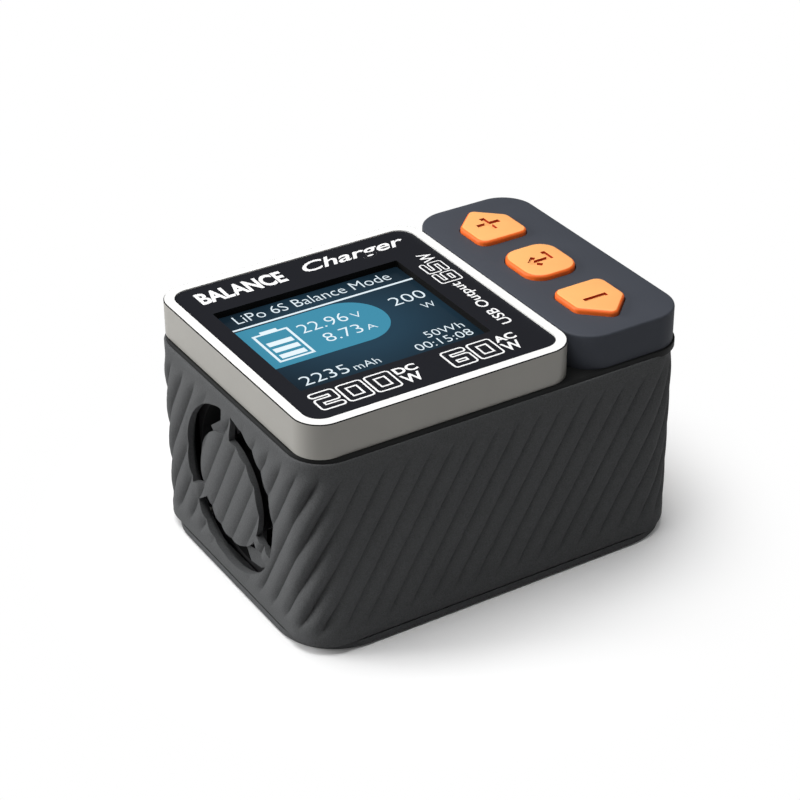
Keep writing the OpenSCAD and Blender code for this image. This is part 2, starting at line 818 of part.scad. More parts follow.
module fan_rotor() {
    color([0.06, 0.06, 0.06]) on_fan_axis() translate([0, 0, rotor_z]) difference() {
        union() {
            cylinder(h = rotor_h, r = hub_r);
            intersection() {
                cylinder(h = rotor_h, r = blade_r);
                for (i = [0:blades - 1]) rotate([0, 0, i * 360 / blades])
                    translate([hub_r - 1, 0, rotor_h / 2]) rotate([40, 0, 0])
                        translate([0, -5, -0.5]) cube([blade_r, 10, 1]);
            }
        }
        translate([0, 0, -eps]) cylinder(h = rotor_h - hub_wall + eps, r = hub_r - hub_wall);
        cylinder(h = rotor_h + eps, r = shaft_r + 0.01);
    }
}
module fan_shaft() {
    color("silver") on_fan_axis() translate([0, 0, fan_base_t + 0.3])
        cylinder(h = rotor_z + rotor_h - fan_base_t - 0.5, r = shaft_r);
}
module fan_screws() {
    color("silver") on_fan_axis() at_fan_screws() translate([0, 0, fan_t])
        screw(m25_r, m25_head_r, m25_head_h, fan_t + fan_standoff + 0.6);
}
module fan_leads() {
    plug_x = board_x0 + 0.5;
    color("ivory") translate([plug_x, -13.8, board_top]) cube([2, 4, 5]);
    color("red") for (y = [-12.6, -11])
        translate([fan_x + fan_t, y, board_top + 2.5]) rotate([0, 90, 0])
            cylinder(h = plug_x - fan_x - fan_t + 0.1, r = 0.6);
}

// Ports ----------------------------------------------------------------------

module mains_inlet() {
    color([0.05, 0.05, 0.05]) facing_back(inlet_x, board_top + inlet_h / 2) difference() {
        translate([0, 0, -inlet_depth]) slab(inlet_w, inlet_h, inlet_depth, 1.5);
        for (x = [-1, 1])
            translate([x * 3.9, 0, -inlet_mouth]) cylinder(h = inlet_mouth + eps, r = 4.1);
        translate([0, 0, -inlet_mouth]) translate([0, -2.9, 0]) translate([-3.9, 0, 0])
            cube([7.8, 5.8, inlet_mouth + eps]);
    }
}
module mains_pins() {
    color("silver") facing_back(inlet_x, board_top + inlet_h / 2) for (x = [-1, 1])
        translate([x * 4.3, 0, -inlet_mouth]) cylinder(h = 9, r = 1.2);
}
module input_socket() {
    color("gold") facing_back(input_x, board_top + power_h / 2) difference() {
        translate([0, 0, -power_depth]) linear_extrude(power_depth) power_outline(0);
        translate([0, 0, -power_mouth]) linear_extrude(power_mouth + eps) power_outline(-power_wall);
    }
}
module input_pins() {
    color("goldenrod") facing_back(input_x, board_top + power_h / 2) for (x = [-1, 1])
        translate([x * power_pitch / 2, 0, -power_mouth]) cylinder(h = power_mouth - 1.5, r = power_pin_r);
}
module output_socket() {
    color("gold") facing_right(output_y, board_top + power_h / 2) difference() {
        translate([0, 0, -power_depth]) linear_extrude(power_depth) power_outline(0);
        for (x = [-1, 1])
            translate([x * power_pitch / 2, 0, -power_mouth]) cylinder(h = power_mouth + eps, r = 2.7);
    }
}
module output_contacts() {
    color("goldenrod") facing_right(output_y, board_top + power_h / 2) for (x = [-1, 1])
        translate([x * power_pitch / 2, 0, -power_mouth]) difference() {
            cylinder(h = power_mouth - 0.6, r = 2.4);
            translate([0, 0, 1]) cylinder(h = power_mouth, r = power_pin_r + slide_gap);
        }
}
module balance_socket() {
    color("ivory") facing_right(balance_y, board_top + balance_h / 2) {
        difference() {
            translate([0, 0, -balance_depth / 2]) cube([balance_w, balance_h, balance_depth], center = true);
            translate([0, 0, -3.5]) cube([balance_w - 2, balance_h - 2, 7.01], center = true);
            translate([0, balance_h / 2, -3]) cube([4, 4, 6.01], center = true);
        }
        for (i = [0:balance_ways - 1])
            translate([(i - (balance_ways - 1) / 2) * balance_pitch, 0, -4.5])
                cube([0.7, 0.7, 6.4], center = true);
    }
}
module usb_port() {
    color("silver") facing_right(usb_y, usb_board_z + board_t + usb_h / 2) {
        difference() {
            translate([0, 0, -usb_depth]) slab(usb_w, usb_h, usb_depth, 1.5);
            translate([0, 0, 0.7 - usb_depth]) slab(usb_w - 0.7, usb_h - 0.7, usb_depth, 1.2);
        }
        translate([-3.35, -0.35, -usb_depth]) cube([6.7, 0.7, usb_depth - 1]);
    }
}
module usb_board() {
    x0 = inner_l / 2 - 15;
    color("darkgreen") {
        translate([x0, usb_y - 11, usb_board_z]) cube([14, 22, board_t]);
        translate([x0 + 1.5, usb_y - 1.5, board_top]) cube([2.5, 11, usb_board_z - board_top]);
    }
}

lower_shell();
bottom_cover();
bottom_screws();
rubber_feet();
top_cover();
cover_screws();
display_bezel();
display_panel();
screen_glass();
screen_module();
screen_tray();
control_board();
control_screws();
control_chips();
button_pod();
up_key();
enter_key();
down_key();
up_plunger();
enter_plunger();
down_plunger();
up_switch();
enter_switch();
down_switch();
power_board();
board_standoffs();
board_screws();
insulation_sheet();
transformer_core();
transformer_winding();
transformer_base();
mains_capacitor();
output_capacitors();
film_capacitor();
filter_choke();
mains_fuse();
coil_cores();
coil_windings();
charge_heat_sink();
supply_heat_sink();
power_transistors();
ribbon_cable();
ribbon_socket();
buzzer();
fan_frame();
fan_rotor();
fan_shaft();
fan_bearing();
fan_stator();
fan_screws();
fan_leads();
mains_inlet();
mains_pins();
input_socket();
input_pins();
output_socket();
output_contacts();
balance_socket();
usb_port();
usb_board();
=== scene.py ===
# %% [markdown]
# # A balance battery charger
# The charger is a small ribbed box with a fan in its left side, a framed display on its deck and a
# pod with three keys beside it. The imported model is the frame: it fixes every size and place, and
# this lesson builds the looks round it. Each cell adds one piece or one finish.

# %% Load the frame
from math import atan2, cos, pi, radians, sin, sqrt, tan

import bmesh
import bpy
from mathutils import Matrix, Vector


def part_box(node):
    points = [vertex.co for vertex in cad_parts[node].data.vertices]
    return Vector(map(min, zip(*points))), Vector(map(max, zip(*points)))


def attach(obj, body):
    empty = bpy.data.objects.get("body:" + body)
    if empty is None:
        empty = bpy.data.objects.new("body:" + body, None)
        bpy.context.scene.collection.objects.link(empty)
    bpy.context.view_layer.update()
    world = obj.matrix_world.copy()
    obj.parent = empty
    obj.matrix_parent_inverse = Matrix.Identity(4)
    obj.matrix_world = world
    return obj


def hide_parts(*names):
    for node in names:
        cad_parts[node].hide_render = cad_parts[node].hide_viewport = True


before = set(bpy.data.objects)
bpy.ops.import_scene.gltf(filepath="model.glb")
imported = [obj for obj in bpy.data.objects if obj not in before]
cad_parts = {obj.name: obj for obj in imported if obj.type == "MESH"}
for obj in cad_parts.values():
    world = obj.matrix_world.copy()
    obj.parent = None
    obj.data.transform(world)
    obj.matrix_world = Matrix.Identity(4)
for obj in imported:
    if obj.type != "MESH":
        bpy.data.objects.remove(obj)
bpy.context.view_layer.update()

MM = 0.001

# %% [markdown]
# ## Working by hand, in code
# Every piece is modelled as at the desk: add a primitive, go into edit mode, pick edges by where they
# are, and use the edit tools on them. The first helpers only select.


# %% Helpers for selecting
def let_go():
    """Leaves edit mode and deselects everything, because an operator acts on all that is selected."""
    if bpy.context.object and bpy.context.object.mode != "OBJECT":
        bpy.ops.object.mode_set(mode="OBJECT")
    bpy.ops.object.select_all(action="DESELECT")


def hold(piece):
    """Makes a piece the only selected one, and the active one."""
    let_go()
    piece.select_set(True)
    bpy.context.view_layer.objects.active = piece


def edit(piece, kind="FACE"):
    """Opens a piece in edit mode with nothing selected."""
    hold(piece)
    bpy.ops.object.mode_set(mode="EDIT")
    bpy.ops.mesh.select_mode(type=kind)
    bpy.ops.mesh.select_all(action="DESELECT")


def pick_edges(piece, test):
    """Selects the edges whose two ends pass a test."""
    mesh = bmesh.from_edit_mesh(piece.data)
    for edge in mesh.edges:
        edge.select_set(bool(test(edge.verts[0].co, edge.verts[1].co)))
    bmesh.update_edit_mesh(piece.data)


print("selecting by place; one millimetre is", MM, "in Blender")

# %% [markdown]
# A finished mesh is tidy: its object stands at the origin, its modifiers are applied, it has no
# double vertices and its faces look outwards. Smooth shading that keeps sharp edges gives a moulded
# look without more faces. A piece can carry several finishes, one on each face.


# %% Helpers for tidying and painting
def settle(piece):
    """Puts a piece's place, turn and size into its mesh, so that its object sits at the origin."""
    hold(piece)
    bpy.ops.object.transform_apply(location=True, rotation=True, scale=True)


def apply_all(piece):
    """Applies every modifier of a piece, in order."""
    hold(piece)
    for modifier in list(piece.modifiers):
        bpy.ops.object.modifier_apply(modifier=modifier.name)


def face_outwards(piece):
    """Merges doubles and turns every face outwards."""
    edit(piece)
    bpy.ops.mesh.select_all(action="SELECT")
    bpy.ops.mesh.remove_doubles(threshold=0.002 * MM)
    bpy.ops.mesh.normals_make_consistent(inside=False)
    let_go()


def smooth(piece, degrees=32):
    """Shades a piece smooth, and keeps its sharp edges sharp."""
    hold(piece)
    bpy.ops.object.shade_smooth_by_angle(angle=radians(degrees))


def paint(piece, *finishes):
    """Gives a piece its finishes, the first of them all over."""
    piece.data.materials.clear()
    for material in finishes:
        piece.data.materials.append(material)


def paint_faces(piece, slot, test):
    """Gives the faces that pass a test another of the piece's finishes."""
    for face in piece.data.polygons:
        if test(face.center, face.normal):
            face.material_index = slot


print("tidying: settle, apply, face outwards, smooth, paint")

# %% [markdown]
# Most parts of a small appliance are rounded boxes with holes. A cube with bevelled edges gives the
# box, and a boolean cut gives the holes, because a hole of any outline then stays crisp and closed.
# The cutter's own finish is left on the walls of the hole that it makes.


# %% Helpers for blocks, cuts and joins
def block(name, low, high, corner=0.0, segments=8):
    """A box from its lowest to its highest corner, with its upright edges rounded."""
    let_go()
    low, high = Vector(low), Vector(high)
    bpy.ops.mesh.primitive_cube_add(size=1, location=(low + high) / 2, scale=high - low)
    piece = bpy.context.object
    piece.name = name
    settle(piece)
    if corner:
        edit(piece, "EDGE")
        pick_edges(piece, lambda a, b: abs(a.z - b.z) > 0.5 * (high.z - low.z))
        bpy.ops.mesh.bevel(offset=corner, segments=segments, affect="EDGES")
        let_go()
    return piece


def round_rim(piece, z, offset, segments=3):
    """Bevels the edges that lie flat at one height."""
    edit(piece, "EDGE")
    near = 0.02 * MM
    pick_edges(piece, lambda a, b: abs(a.z - z) < near and abs(b.z - z) < near)
    bpy.ops.mesh.bevel(offset=offset, segments=segments, affect="EDGES")
    let_go()


def cut_out(piece, *cutters):
    """Cuts the cutters' shapes out of a piece, and removes the cutters."""
    hold(cutters[0])
    for cutter in cutters[1:]:
        cutter.select_set(True)
    if len(cutters) > 1:
        bpy.ops.object.join()
    cutter = cutters[0]
    hold(piece)
    hole = piece.modifiers.new("cut", "BOOLEAN")
    hole.operation = "DIFFERENCE"
    hole.solver = "EXACT"
    hole.object = cutter
    apply_all(piece)
    bpy.data.objects.remove(cutter)


def join(name, pieces):
    """Joins pieces into one that keeps all their finishes."""
    hold(pieces[0])
    for piece in pieces[1:]:
        piece.select_set(True)
    bpy.ops.object.join()
    pieces[0].name = name
    return pieces[0]


def finished(piece, body, *replaced, slot=None):
    """Hands a finished piece to the frame: the body it rides on and the nodes it stands for."""
    settle(piece)
    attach(piece, body)
    if replaced:
        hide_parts(*replaced)
    let_go()
    print(f"{piece.name}: {len(piece.data.polygons)} faces")


print("modelling: block, round_rim, cut_out, join, finished")

# %% [markdown]
# ## Finishes
# Moulded plastic is never one flat colour: it has a fine grain, and a slow mottle in its colour and
# its shine. An image texture would stretch and repeat, so one function mixes them from noise on the
# piece's own coordinates, where a grain keeps its real size.


# %% Helpers for finishes
def srgb(red, green, blue):
    """A colour as a screen shows it, from 0 to 255, as the linear values that a shader takes."""
    return tuple((c / 12.92 if c <= 0.04045 else ((c + 0.055) / 1.055) ** 2.4)
                 for c in (red / 255, green / 255, blue / 255))


def add_node(nodes, kind, **inputs):
    """Adds a shader node and sets its inputs, whose names have _ for a space."""
    node = nodes.new("ShaderNode" + kind)
    for name, value in inputs.items():
        node.inputs[name.replace("_", " ")].default_value = value
    return node


def colour_mix(nodes, first, second):
    """Adds a node that mixes two colours by its first input."""
    mix = nodes.new("ShaderNodeMix")
    mix.data_type = "RGBA"
    mix.inputs[6].default_value = (*first, 1)
    mix.inputs[7].default_value = (*second, 1)
    return mix


def finish(name, colour, rough=0.5, metal=0.0, grain=0.2, relief=0.006, mottle=0.08, glow=None, coat=0.0,
           stretch=(1, 1, 1), shine=0.3, speckle=0.0):
    """A procedural finish. grain is the size of its grain and relief its depth, both in millimetres."""
    material = bpy.data.materials.new(name)
    material.use_nodes = True
    nodes, links = material.node_tree.nodes, material.node_tree.links
    shader = nodes["Principled BSDF"]
    place = nodes.new("ShaderNodeTexCoord")
    squeeze = add_node(nodes, "Mapping", Scale=stretch)
    links.new(place.outputs["Object"], squeeze.inputs["Vector"])
    fine = add_node(nodes, "TexNoise", Scale=1 / (grain * MM), Detail=3)
    slow = add_node(nodes, "TexNoise", Scale=90, Detail=4)
    for noise in (fine, slow):
        links.new(squeeze.outputs["Vector"], noise.inputs["Vector"])
    bump = add_node(nodes, "Bump", Distance=relief * MM)
    links.new(fine.outputs["Fac"], bump.inputs["Height"])
    links.new(bump.outputs["Normal"], shader.inputs["Normal"])
    blend = add_node(nodes, "Mix", Factor=speckle)
    links.new(slow.outputs["Fac"], blend.inputs["A"])
    links.new(fine.outputs["Fac"], blend.inputs["B"])
    colour = srgb(*colour)
    mix = colour_mix(nodes, [c * (1 - mottle) for c in colour], [min(1, c * (1 + mottle)) for c in colour])
    links.new(blend.outputs["Result"], mix.inputs[0])
    links.new(mix.outputs[2], shader.inputs["Base Color"])
    spread = add_node(nodes, "MapRange", To_Min=max(0.02, rough - 0.06), To_Max=min(1, rough + 0.06))
    links.new(fine.outputs["Fac"], spread.inputs["Value"])
    links.new(spread.outputs["Result"], shader.inputs["Roughness"])
    shader.inputs["Metallic"].default_value = metal
    shader.inputs["Specular IOR Level"].default_value = shine
    if coat:
        shader.inputs["Coat Weight"].default_value = coat
    if glow:
        shader.inputs["Emission Color"].default_value = (*srgb(*glow[:3]), 1)
        shader.inputs["Emission Strength"].default_value = glow[3]
    return material


print("a mid grey of 128 is", round(srgb(128, 128, 128)[0], 3), "in linear light")

# %% [markdown]
# ## Finishes that show
# The housing is glass-filled plastic with a sandy skin, so its grain is deep and its colour speckled.
# The deck pieces are smoother. The bezel is painted metal whose top face is painted white, a painted
# highlight. The keys are orange; their tops are painted lighter as painted light, and their sides
# and signs are painted deeper as painted shade.

# %% Finishes of the outside
shell_skin = finish("shell_skin", (78, 79, 80), rough=0.75, grain=0.3, relief=0.14, mottle=0.5, shine=0.12,
                    speckle=0.85)
cover_black = finish("cover_black", (17, 18, 18), rough=0.6, relief=0.012, shine=0.15)
pod_skin = finish("pod_skin", (62, 65, 72), rough=0.6, grain=0.12, relief=0.008, mottle=0.05, shine=0.12)
bezel_metal = finish("bezel_metal", (150, 148, 143), rough=0.4, metal=0.12, grain=0.25, mottle=0.05,
                     stretch=(1, 1, 0.15), shine=0.2)
# Painted highlight: the bezel's top is painted white where the light from above falls on it.
bezel_highlight_white = finish("bezel_highlight_white", (226, 226, 224), rough=0.4, relief=0.004, mottle=0.02)
# Painted shade: near black for the rim's groove, the bezel's chamfer and the window's walls.
groove_shade_black = finish("groove_shade_black", (12, 12, 12), rough=0.7, grain=0.3, relief=0.01, shine=0.1)
panel_black = finish("panel_black", (23, 24, 29), grain=0.15, relief=0.004, mottle=0.05, shine=0.12)
print_white = finish("print_white", (228, 228, 228), grain=0.1, relief=0.003, mottle=0.03)
# Painted light on the key tops, painted shade on their sides and on the walls of their signs.
key_lit_orange = finish("key_lit_orange", (238, 168, 102), grain=0.15, mottle=0.03)
key_shaded_side = finish("key_shaded_side", (236, 104, 34), grain=0.15, mottle=0.03)
key_sign_shade = finish("key_sign_shade", (170, 48, 12), rough=0.6, grain=0.15, mottle=0.05)
print("outer finishes:", len(bpy.data.materials))

# %% [markdown]
# ## Finishes of the inside
# Behind the fan's slots and the sockets lie metals, circuit boards and plain plastics. A grain that
# is stretched along one axis reads as brushed metal, as tape or as turns of wire, so no turn has to
# be modelled.

# %% Finishes of the inside
rubber = finish("rubber", (30, 30, 30), rough=0.8, grain=0.3, relief=0.02)
steel = finish("steel", (190, 190, 188), rough=0.28, metal=1, relief=0.004)
brass = finish("brass", (214, 176, 96), rough=0.25, metal=1, relief=0.003)
aluminium = finish("aluminium", (196, 198, 200), rough=0.35, metal=1, stretch=(0.1, 0.1, 1))
board_green = finish("board_green", (24, 84, 44), rough=0.3, grain=0.6, relief=0.02, mottle=0.25, coat=0.4)
black_plastic = finish("black_plastic", (34, 34, 35), relief=0.012)
ivory_plastic = finish("ivory_plastic", (224, 218, 196), rough=0.45, mottle=0.04)
yellow_plastic = finish("yellow_plastic", (226, 178, 40), rough=0.42, mottle=0.04)
tape_yellow = finish("tape_yellow", (222, 186, 60), rough=0.35, grain=1.2, relief=0.03,
                     stretch=(0.1, 0.1, 1))
copper_wire = finish("copper_wire", (184, 98, 44), rough=0.3, metal=0.8, grain=0.5, relief=0.05,
                     stretch=(1, 1, 0.2))
ferrite = finish("ferrite", (58, 58, 60), rough=0.7, grain=0.4, relief=0.02)
sleeve_blue = finish("sleeve_blue", (34, 44, 78), rough=0.3, grain=0.3, relief=0.005, coat=0.3)
red_wire = finish("red_wire", (170, 30, 24), rough=0.4, grain=0.3, relief=0.01)
print("all finishes:", len(bpy.data.materials))

# %% [markdown]
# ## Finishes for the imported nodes
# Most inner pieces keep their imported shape, which is exact, and only change their finish. What the
# list doesn't name, such as chips, switches and the fan, is plain black plastic.

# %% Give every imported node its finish
node_finish = {
    shell_skin: ["lower_shell", "bottom_cover"],
    cover_black: ["top_cover"],
    rubber: ["rubber_feet"],
    steel: ["bottom_screws", "cover_screws", "control_screws", "board_screws", "fan_screws", "screen_tray",
            "fan_shaft", "mains_pins", "usb_port"],
    bezel_metal: ["display_bezel"],
    panel_black: ["display_panel", "screen_glass"],
    pod_skin: ["button_pod"],
    key_lit_orange: ["up_key", "enter_key", "down_key"],
    board_green: ["control_board", "power_board", "usb_board"],
    brass: ["board_standoffs", "fan_bearing", "input_pins", "output_contacts"],
    aluminium: ["charge_heat_sink", "supply_heat_sink"],
    ferrite: ["transformer_core"],
    tape_yellow: ["transformer_winding", "coil_cores"],
    copper_wire: ["coil_windings", "fan_stator"],
    sleeve_blue: ["mains_capacitor", "output_capacitors"],
    yellow_plastic: ["film_capacitor", "input_socket", "output_socket"],
    ivory_plastic: ["up_plunger", "enter_plunger", "down_plunger", "insulation_sheet", "mains_fuse",
                    "ribbon_cable", "ribbon_socket", "balance_socket"],
    red_wire: ["fan_leads"],
}
finish_of = {name: material for material, names in node_finish.items() for name in names}
for name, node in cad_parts.items():
    paint(node, finish_of.get(name, black_plastic))
print("black plastic:", sorted(set(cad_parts) - set(finish_of)))

# %% [markdown]
# ## The measures that the frame gives
# The housing's size, the deck pieces' boxes and the fan's height are read from the imported nodes,
# so that these need no fitting. The wall and the corners of the bezel and the pod are given.

# %% Sizes from the frame
def box_of(node):
    """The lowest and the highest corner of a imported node."""
    return (Vector(corner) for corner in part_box(node))


shell_low, shell_high = box_of("lower_shell")
bezel_low, bezel_high = box_of("display_bezel")
pod_low, pod_high = box_of("button_pod")
panel_low, panel_high = box_of("display_panel")
glass_low, glass_high = box_of("screen_glass")
fan_low, fan_high = box_of("fan_frame")
half_l, half_w = shell_high.x, shell_high.y
z_foot, z_rim = shell_low.z, shell_high.z
fan_z = (fan_low.z + fan_high.z) / 2
bezel_corner, pod_corner = 6.5 * MM, 8 * MM
wall = 2.4 * MM
print("housing (mm):", [round(v / MM, 1) for v in shell_high - shell_low])

# %% [markdown]
# ## The ribbed housing
# The ribs lean 30 degrees from upright and run round all four sides. They stiffen the thin wall and
# give a grip. Each swells out like a cushion and meets the next in a sharp valley. Bump couldn't give
# their wavy outline. So a grid is wrapped round the housing with its columns leaning as the ribs do,
# and every crest and valley lies on a line of edges. The corners are tighter on the left.

# %% The path round the housing
RIBS = 59
RIB_LEAN = tan(radians(30))
RIB_START = -0.14  # where the first valley lies, in ribs from the start of the path
RISE = 0.6  # the share of a rib that rises; the rest falls
RISING, FALLING = (0, 0.12, 0.27, 0.43, 0.6, 0.8, 1), (0.3, 0.55, 0.75, 0.9)
RIB_LINES = [(RISE * t, 1 - (1 - t) ** 2) for t in RISING]
RIB_LINES += [(RISE + (1 - RISE) * t, 1 - t * t) for t in FALLING]
PATH_CORNER = 8.4 * MM
LEFT_CORNER, RIGHT_CORNER = 9.2 * MM, 12 * MM


def path_parts():
    """The straights and corners of the path: length, start point or centre, start heading, kind."""
    c, x, y = PATH_CORNER, half_l, half_w
    long, short, turn = 2 * (x - c), 2 * (y - c), PATH_CORNER * pi / 2
    return [(short, (-x, y - c), -pi / 2, "straight"), (turn, (c - x, c - y), pi, "corner"),
            (long, (c - x, -y), 0, "straight"), (turn, (x - c, c - y), 1.5 * pi, "corner"),
            (short, (x, c - y), pi / 2, "straight"), (turn, (x - c, y - c), 0, "corner"),
            (long, (x - c, y), pi, "straight"), (turn, (c - x, y - c), pi / 2, "corner")]


PARTS = path_parts()
PATH_LENGTH = sum(part[0] for part in PARTS)
RIB_PITCH = PATH_LENGTH / RIBS


def path_place(s):
    """The point on the path at the distance s, counterclockwise from the back left, and its normal."""
    s %= PATH_LENGTH
    for length, start, angle, kind in PARTS:
        if s <= length:
            break
        s -= length
    if kind == "straight":
        along = Vector((cos(angle), sin(angle)))
        return Vector(start) + s * along, Vector((along.y, -along.x))
    normal = Vector((cos(angle + s / PATH_CORNER), sin(angle + s / PATH_CORNER)))
    return Vector(start) + PATH_CORNER * normal, normal


def on_outline(point, normal, corner):
    """Slides a point along its normal onto the housing's outline, with a corner radius of its own."""
    reach = []
    if abs(normal.x) > 1e-6:
        reach.append((half_l - abs(point.x)) / abs(normal.x))
    if abs(normal.y) > 1e-6:
        reach.append((half_w - abs(point.y)) / abs(normal.y))
    gap = Vector((abs(point.x) - half_l + corner, abs(point.y) - half_w + corner))
    out = Vector((abs(normal.x), abs(normal.y)))
    side = gap.dot(out)
    inside = side * side - gap.length_squared + corner * corner
    if inside > 0:
        t = sqrt(inside) - side
        hit = gap + t * out
        if hit.x > 0 and hit.y > 0:
            reach.append(t)
    return point + min(reach) * normal


print(f"ribs: {RIBS}, pitch {RIB_PITCH / MM:.2f} mm")

# %% [markdown]
# The ribs fade out below the rim, above the foot and round the sockets, where a plug has to seat.
# They are lower beside the grille's slots, so that no slot's edge is ragged, and deeper at the
# corners. Each fade is a smooth step.


# %% The shape of the wall
def step(value, low, high):
    """Rises smoothly from 0 at low to 1 at high."""
    t = min(1, max(0, (value - low) / (high - low)))
    return t * t * (3 - 2 * t)


RIGHT_SOCKETS = "output_socket", "balance_socket", "usb_port"
BACK_SOCKETS = "mains_inlet", "input_socket"


def plain_lands():
    """The plain patches round the sockets and vents: which side, and their box on that side."""
    margin = 1.2 * MM
    lands = []
    for side, axis, nodes in (("right", 1, RIGHT_SOCKETS), ("back", 0, BACK_SOCKETS)):
        for low, high in (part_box(node) for node in nodes):
            lands.append((side, low[axis] - margin, high[axis] + margin, low[2] - margin, high[2] + margin))
    return lands


LANDS = plain_lands()
SLOT_RADII = 13 * MM, 19.2 * MM
SLOT_RIBS, DISC_RIBS = 0.45, 0.75  # the strength of the ribs beside a slot, and on the grille's disc
CREST, VALLEY, BAND = 0.0, -0.8 * MM, -0.35 * MM
CORNER_EXTRA = 0.6 * MM
EDGE_ROUND, FOOT_ROUND = 0.4 * MM, 0.7 * MM
print("plain lands:", [land[0] for land in LANDS])


def rib_strength(point, normal, z):
    """How strong the ribs are at a place: 1 on the open wall and 0 on its plain bands and lands."""
    strength = step(z_rim - z, 1.8 * MM, 7.5 * MM) * step(z - z_foot, 2.6 * MM, 6.5 * MM)
    if normal.x < -0.99:
        radius = sqrt(point.y ** 2 + (z - fan_z) ** 2)
        full = DISC_RIBS if radius < SLOT_RADII[0] else 1
        off_slot = step(min(abs(radius - edge) for edge in SLOT_RADII), 0.3 * MM, 1.8 * MM)
        strength *= SLOT_RIBS + (full - SLOT_RIBS) * off_slot
    for side, low, high, bottom, top in LANDS:
        along = point.y if side == "right" else point.x
        facing = normal.x if side == "right" else normal.y
        if facing < 0.7:
            continue
        away = max(low - along, along - high, bottom - z, z - top)
        strength *= step(away, 0, 2 * MM)
    return strength


def wall_place(s, z, swell):
    """The place of a wall vertex, from its place on the path, its height and its height on the rib."""
    point, normal = path_place(s)
    corner = LEFT_CORNER if point.x < 0 else RIGHT_CORNER
    inset = 0.0
    for gap, radius in ((z_rim - z, EDGE_ROUND), (z - z_foot, FOOT_ROUND)):
        if gap < radius:
            inset = radius - sqrt(max(0, radius * radius - (radius - gap) ** 2))
    point = on_outline(point, normal, corner)
    corner_share = (2 * normal.x * normal.y) ** 2
    valley = VALLEY - CORNER_EXTRA * corner_share
    rib = valley + (CREST - valley) * swell
    band = BAND * step(z, 4 * MM, 14 * MM)
    lift = band + rib_strength(point, normal, z) * (rib - band) - inset
    return (*(point + lift * normal), z)


# %% [markdown]
# The rows are closer together at the rim and the foot, where the edges are rounded. The grid's first
# and last columns are merged. The rim is drawn in to a narrow lip and a groove, whose floor is painted
# near black later as painted shade, and the inner wall is extruded down from there and bridged to the
# foot, which leaves one closed skin.

# %% Wrap a grid round the housing
rows = [z_foot + FOOT_ROUND * (1 - cos(radians(a))) for a in (0, 22, 45, 67)]
middle = 44
span_z = z_rim - z_foot - FOOT_ROUND - EDGE_ROUND
rows += [z_foot + FOOT_ROUND + span_z * i / middle for i in range(middle)]
rows += [z_rim - EDGE_ROUND * (1 - sin(radians(a))) for a in (0, 45, 90)]
columns = [(rib + u + RIB_START) * RIB_PITCH for rib in range(RIBS) for u, _ in RIB_LINES]
swells = [g for _ in range(RIBS) for _, g in RIB_LINES]

let_go()
bpy.ops.mesh.primitive_grid_add(x_subdivisions=len(columns), y_subdivisions=len(rows) - 1, size=1)
housing = bpy.context.object
housing.name = "ribbed_housing"
span = len(columns) + 1
for index, vertex in enumerate(housing.data.vertices):
    row, column = divmod(index, span)
    z = rows[row]
    column %= len(columns)
    vertex.co = wall_place(columns[column] + (z - z_foot) * RIB_LEAN, z, swells[column])
face_outwards(housing)

edit(housing, "EDGE")
pick_edges(housing, lambda a, b: min(a.z, b.z) > z_rim - 0.01 * MM)


def draw_in(piece, amount, drop):
    """Extrudes the selected rim loop, and moves the new loop inwards and down."""
    bpy.ops.mesh.extrude_edges_move()
    rim = bmesh.from_edit_mesh(piece.data)
    for vertex in rim.verts:
        if vertex.select:
            x, y = vertex.co.x, vertex.co.y
            out = Vector((max(0, abs(x) - half_l + LEFT_CORNER), max(0, abs(y) - half_w + LEFT_CORNER)))
            if out.length < 1e-9:
                out = Vector((1, 0)) if half_l - abs(x) < half_w - abs(y) else Vector((0, 1))
            out.normalize()
            vertex.co.x -= amount * out.x * (1 if x > 0 else -1)
            vertex.co.y -= amount * out.y * (1 if y > 0 else -1)
            vertex.co.z -= drop
    bmesh.update_edit_mesh(piece.data)


lip, groove_slope, groove_depth = 0.25 * MM, 0.05 * MM, 0.5 * MM
draw_in(housing, lip, 0)
draw_in(housing, groove_slope, groove_depth)
draw_in(housing, wall - EDGE_ROUND - lip - groove_slope, 0)
bpy.ops.mesh.extrude_edges_move(TRANSFORM_OT_translate={"value": (0, 0, z_foot - z_rim + groove_depth)})
pick_edges(housing, lambda a, b: max(a.z, b.z) < z_foot + 0.01 * MM)
bpy.ops.mesh.bridge_edge_loops()
face_outwards(housing)
print("housing:", len(housing.data.polygons), "faces")

# %% [markdown]
# The fan breathes through three arcs, left between a disc and the wall and joined by three bridges.
# A round recess behind them thins the wall, as on a moulded grille, so that the slots look deep. An
# arc starts as one small face that is spun round the fan's axis, which keeps its curve exact.


# %% Cut the fan's grille
REACH, DEPTH = 3 * MM, 4 * MM  # how far a cutter stands out of the wall, and how deep it goes


def grille_arc(first_degrees, last_degrees):
    """One curved slot of the fan grille, as a cutter."""
    inner_r, outer_r = SLOT_RADII
    outside, inside = -half_l - 2 * MM, -half_l + DEPTH
    let_go()
    bpy.ops.mesh.primitive_plane_add(size=1)
    arc = bpy.context.object
    corners = [(outside, inner_r), (inside, inner_r), (outside, outer_r), (inside, outer_r)]
    turn = Matrix.Rotation(radians(first_degrees), 4, "X")
    for vertex, (x, r) in zip(arc.data.vertices, corners):
        vertex.co = turn @ Vector((x, r, 0)) + Vector((0, 0, fan_z))
    edit(arc)
    bpy.ops.mesh.select_all(action="SELECT")
    bpy.ops.mesh.spin(steps=24, angle=radians(last_degrees - first_degrees), center=(0, 0, fan_z),
                      axis=(-1, 0, 0))
    let_go()
    face_outwards(arc)
    return arc


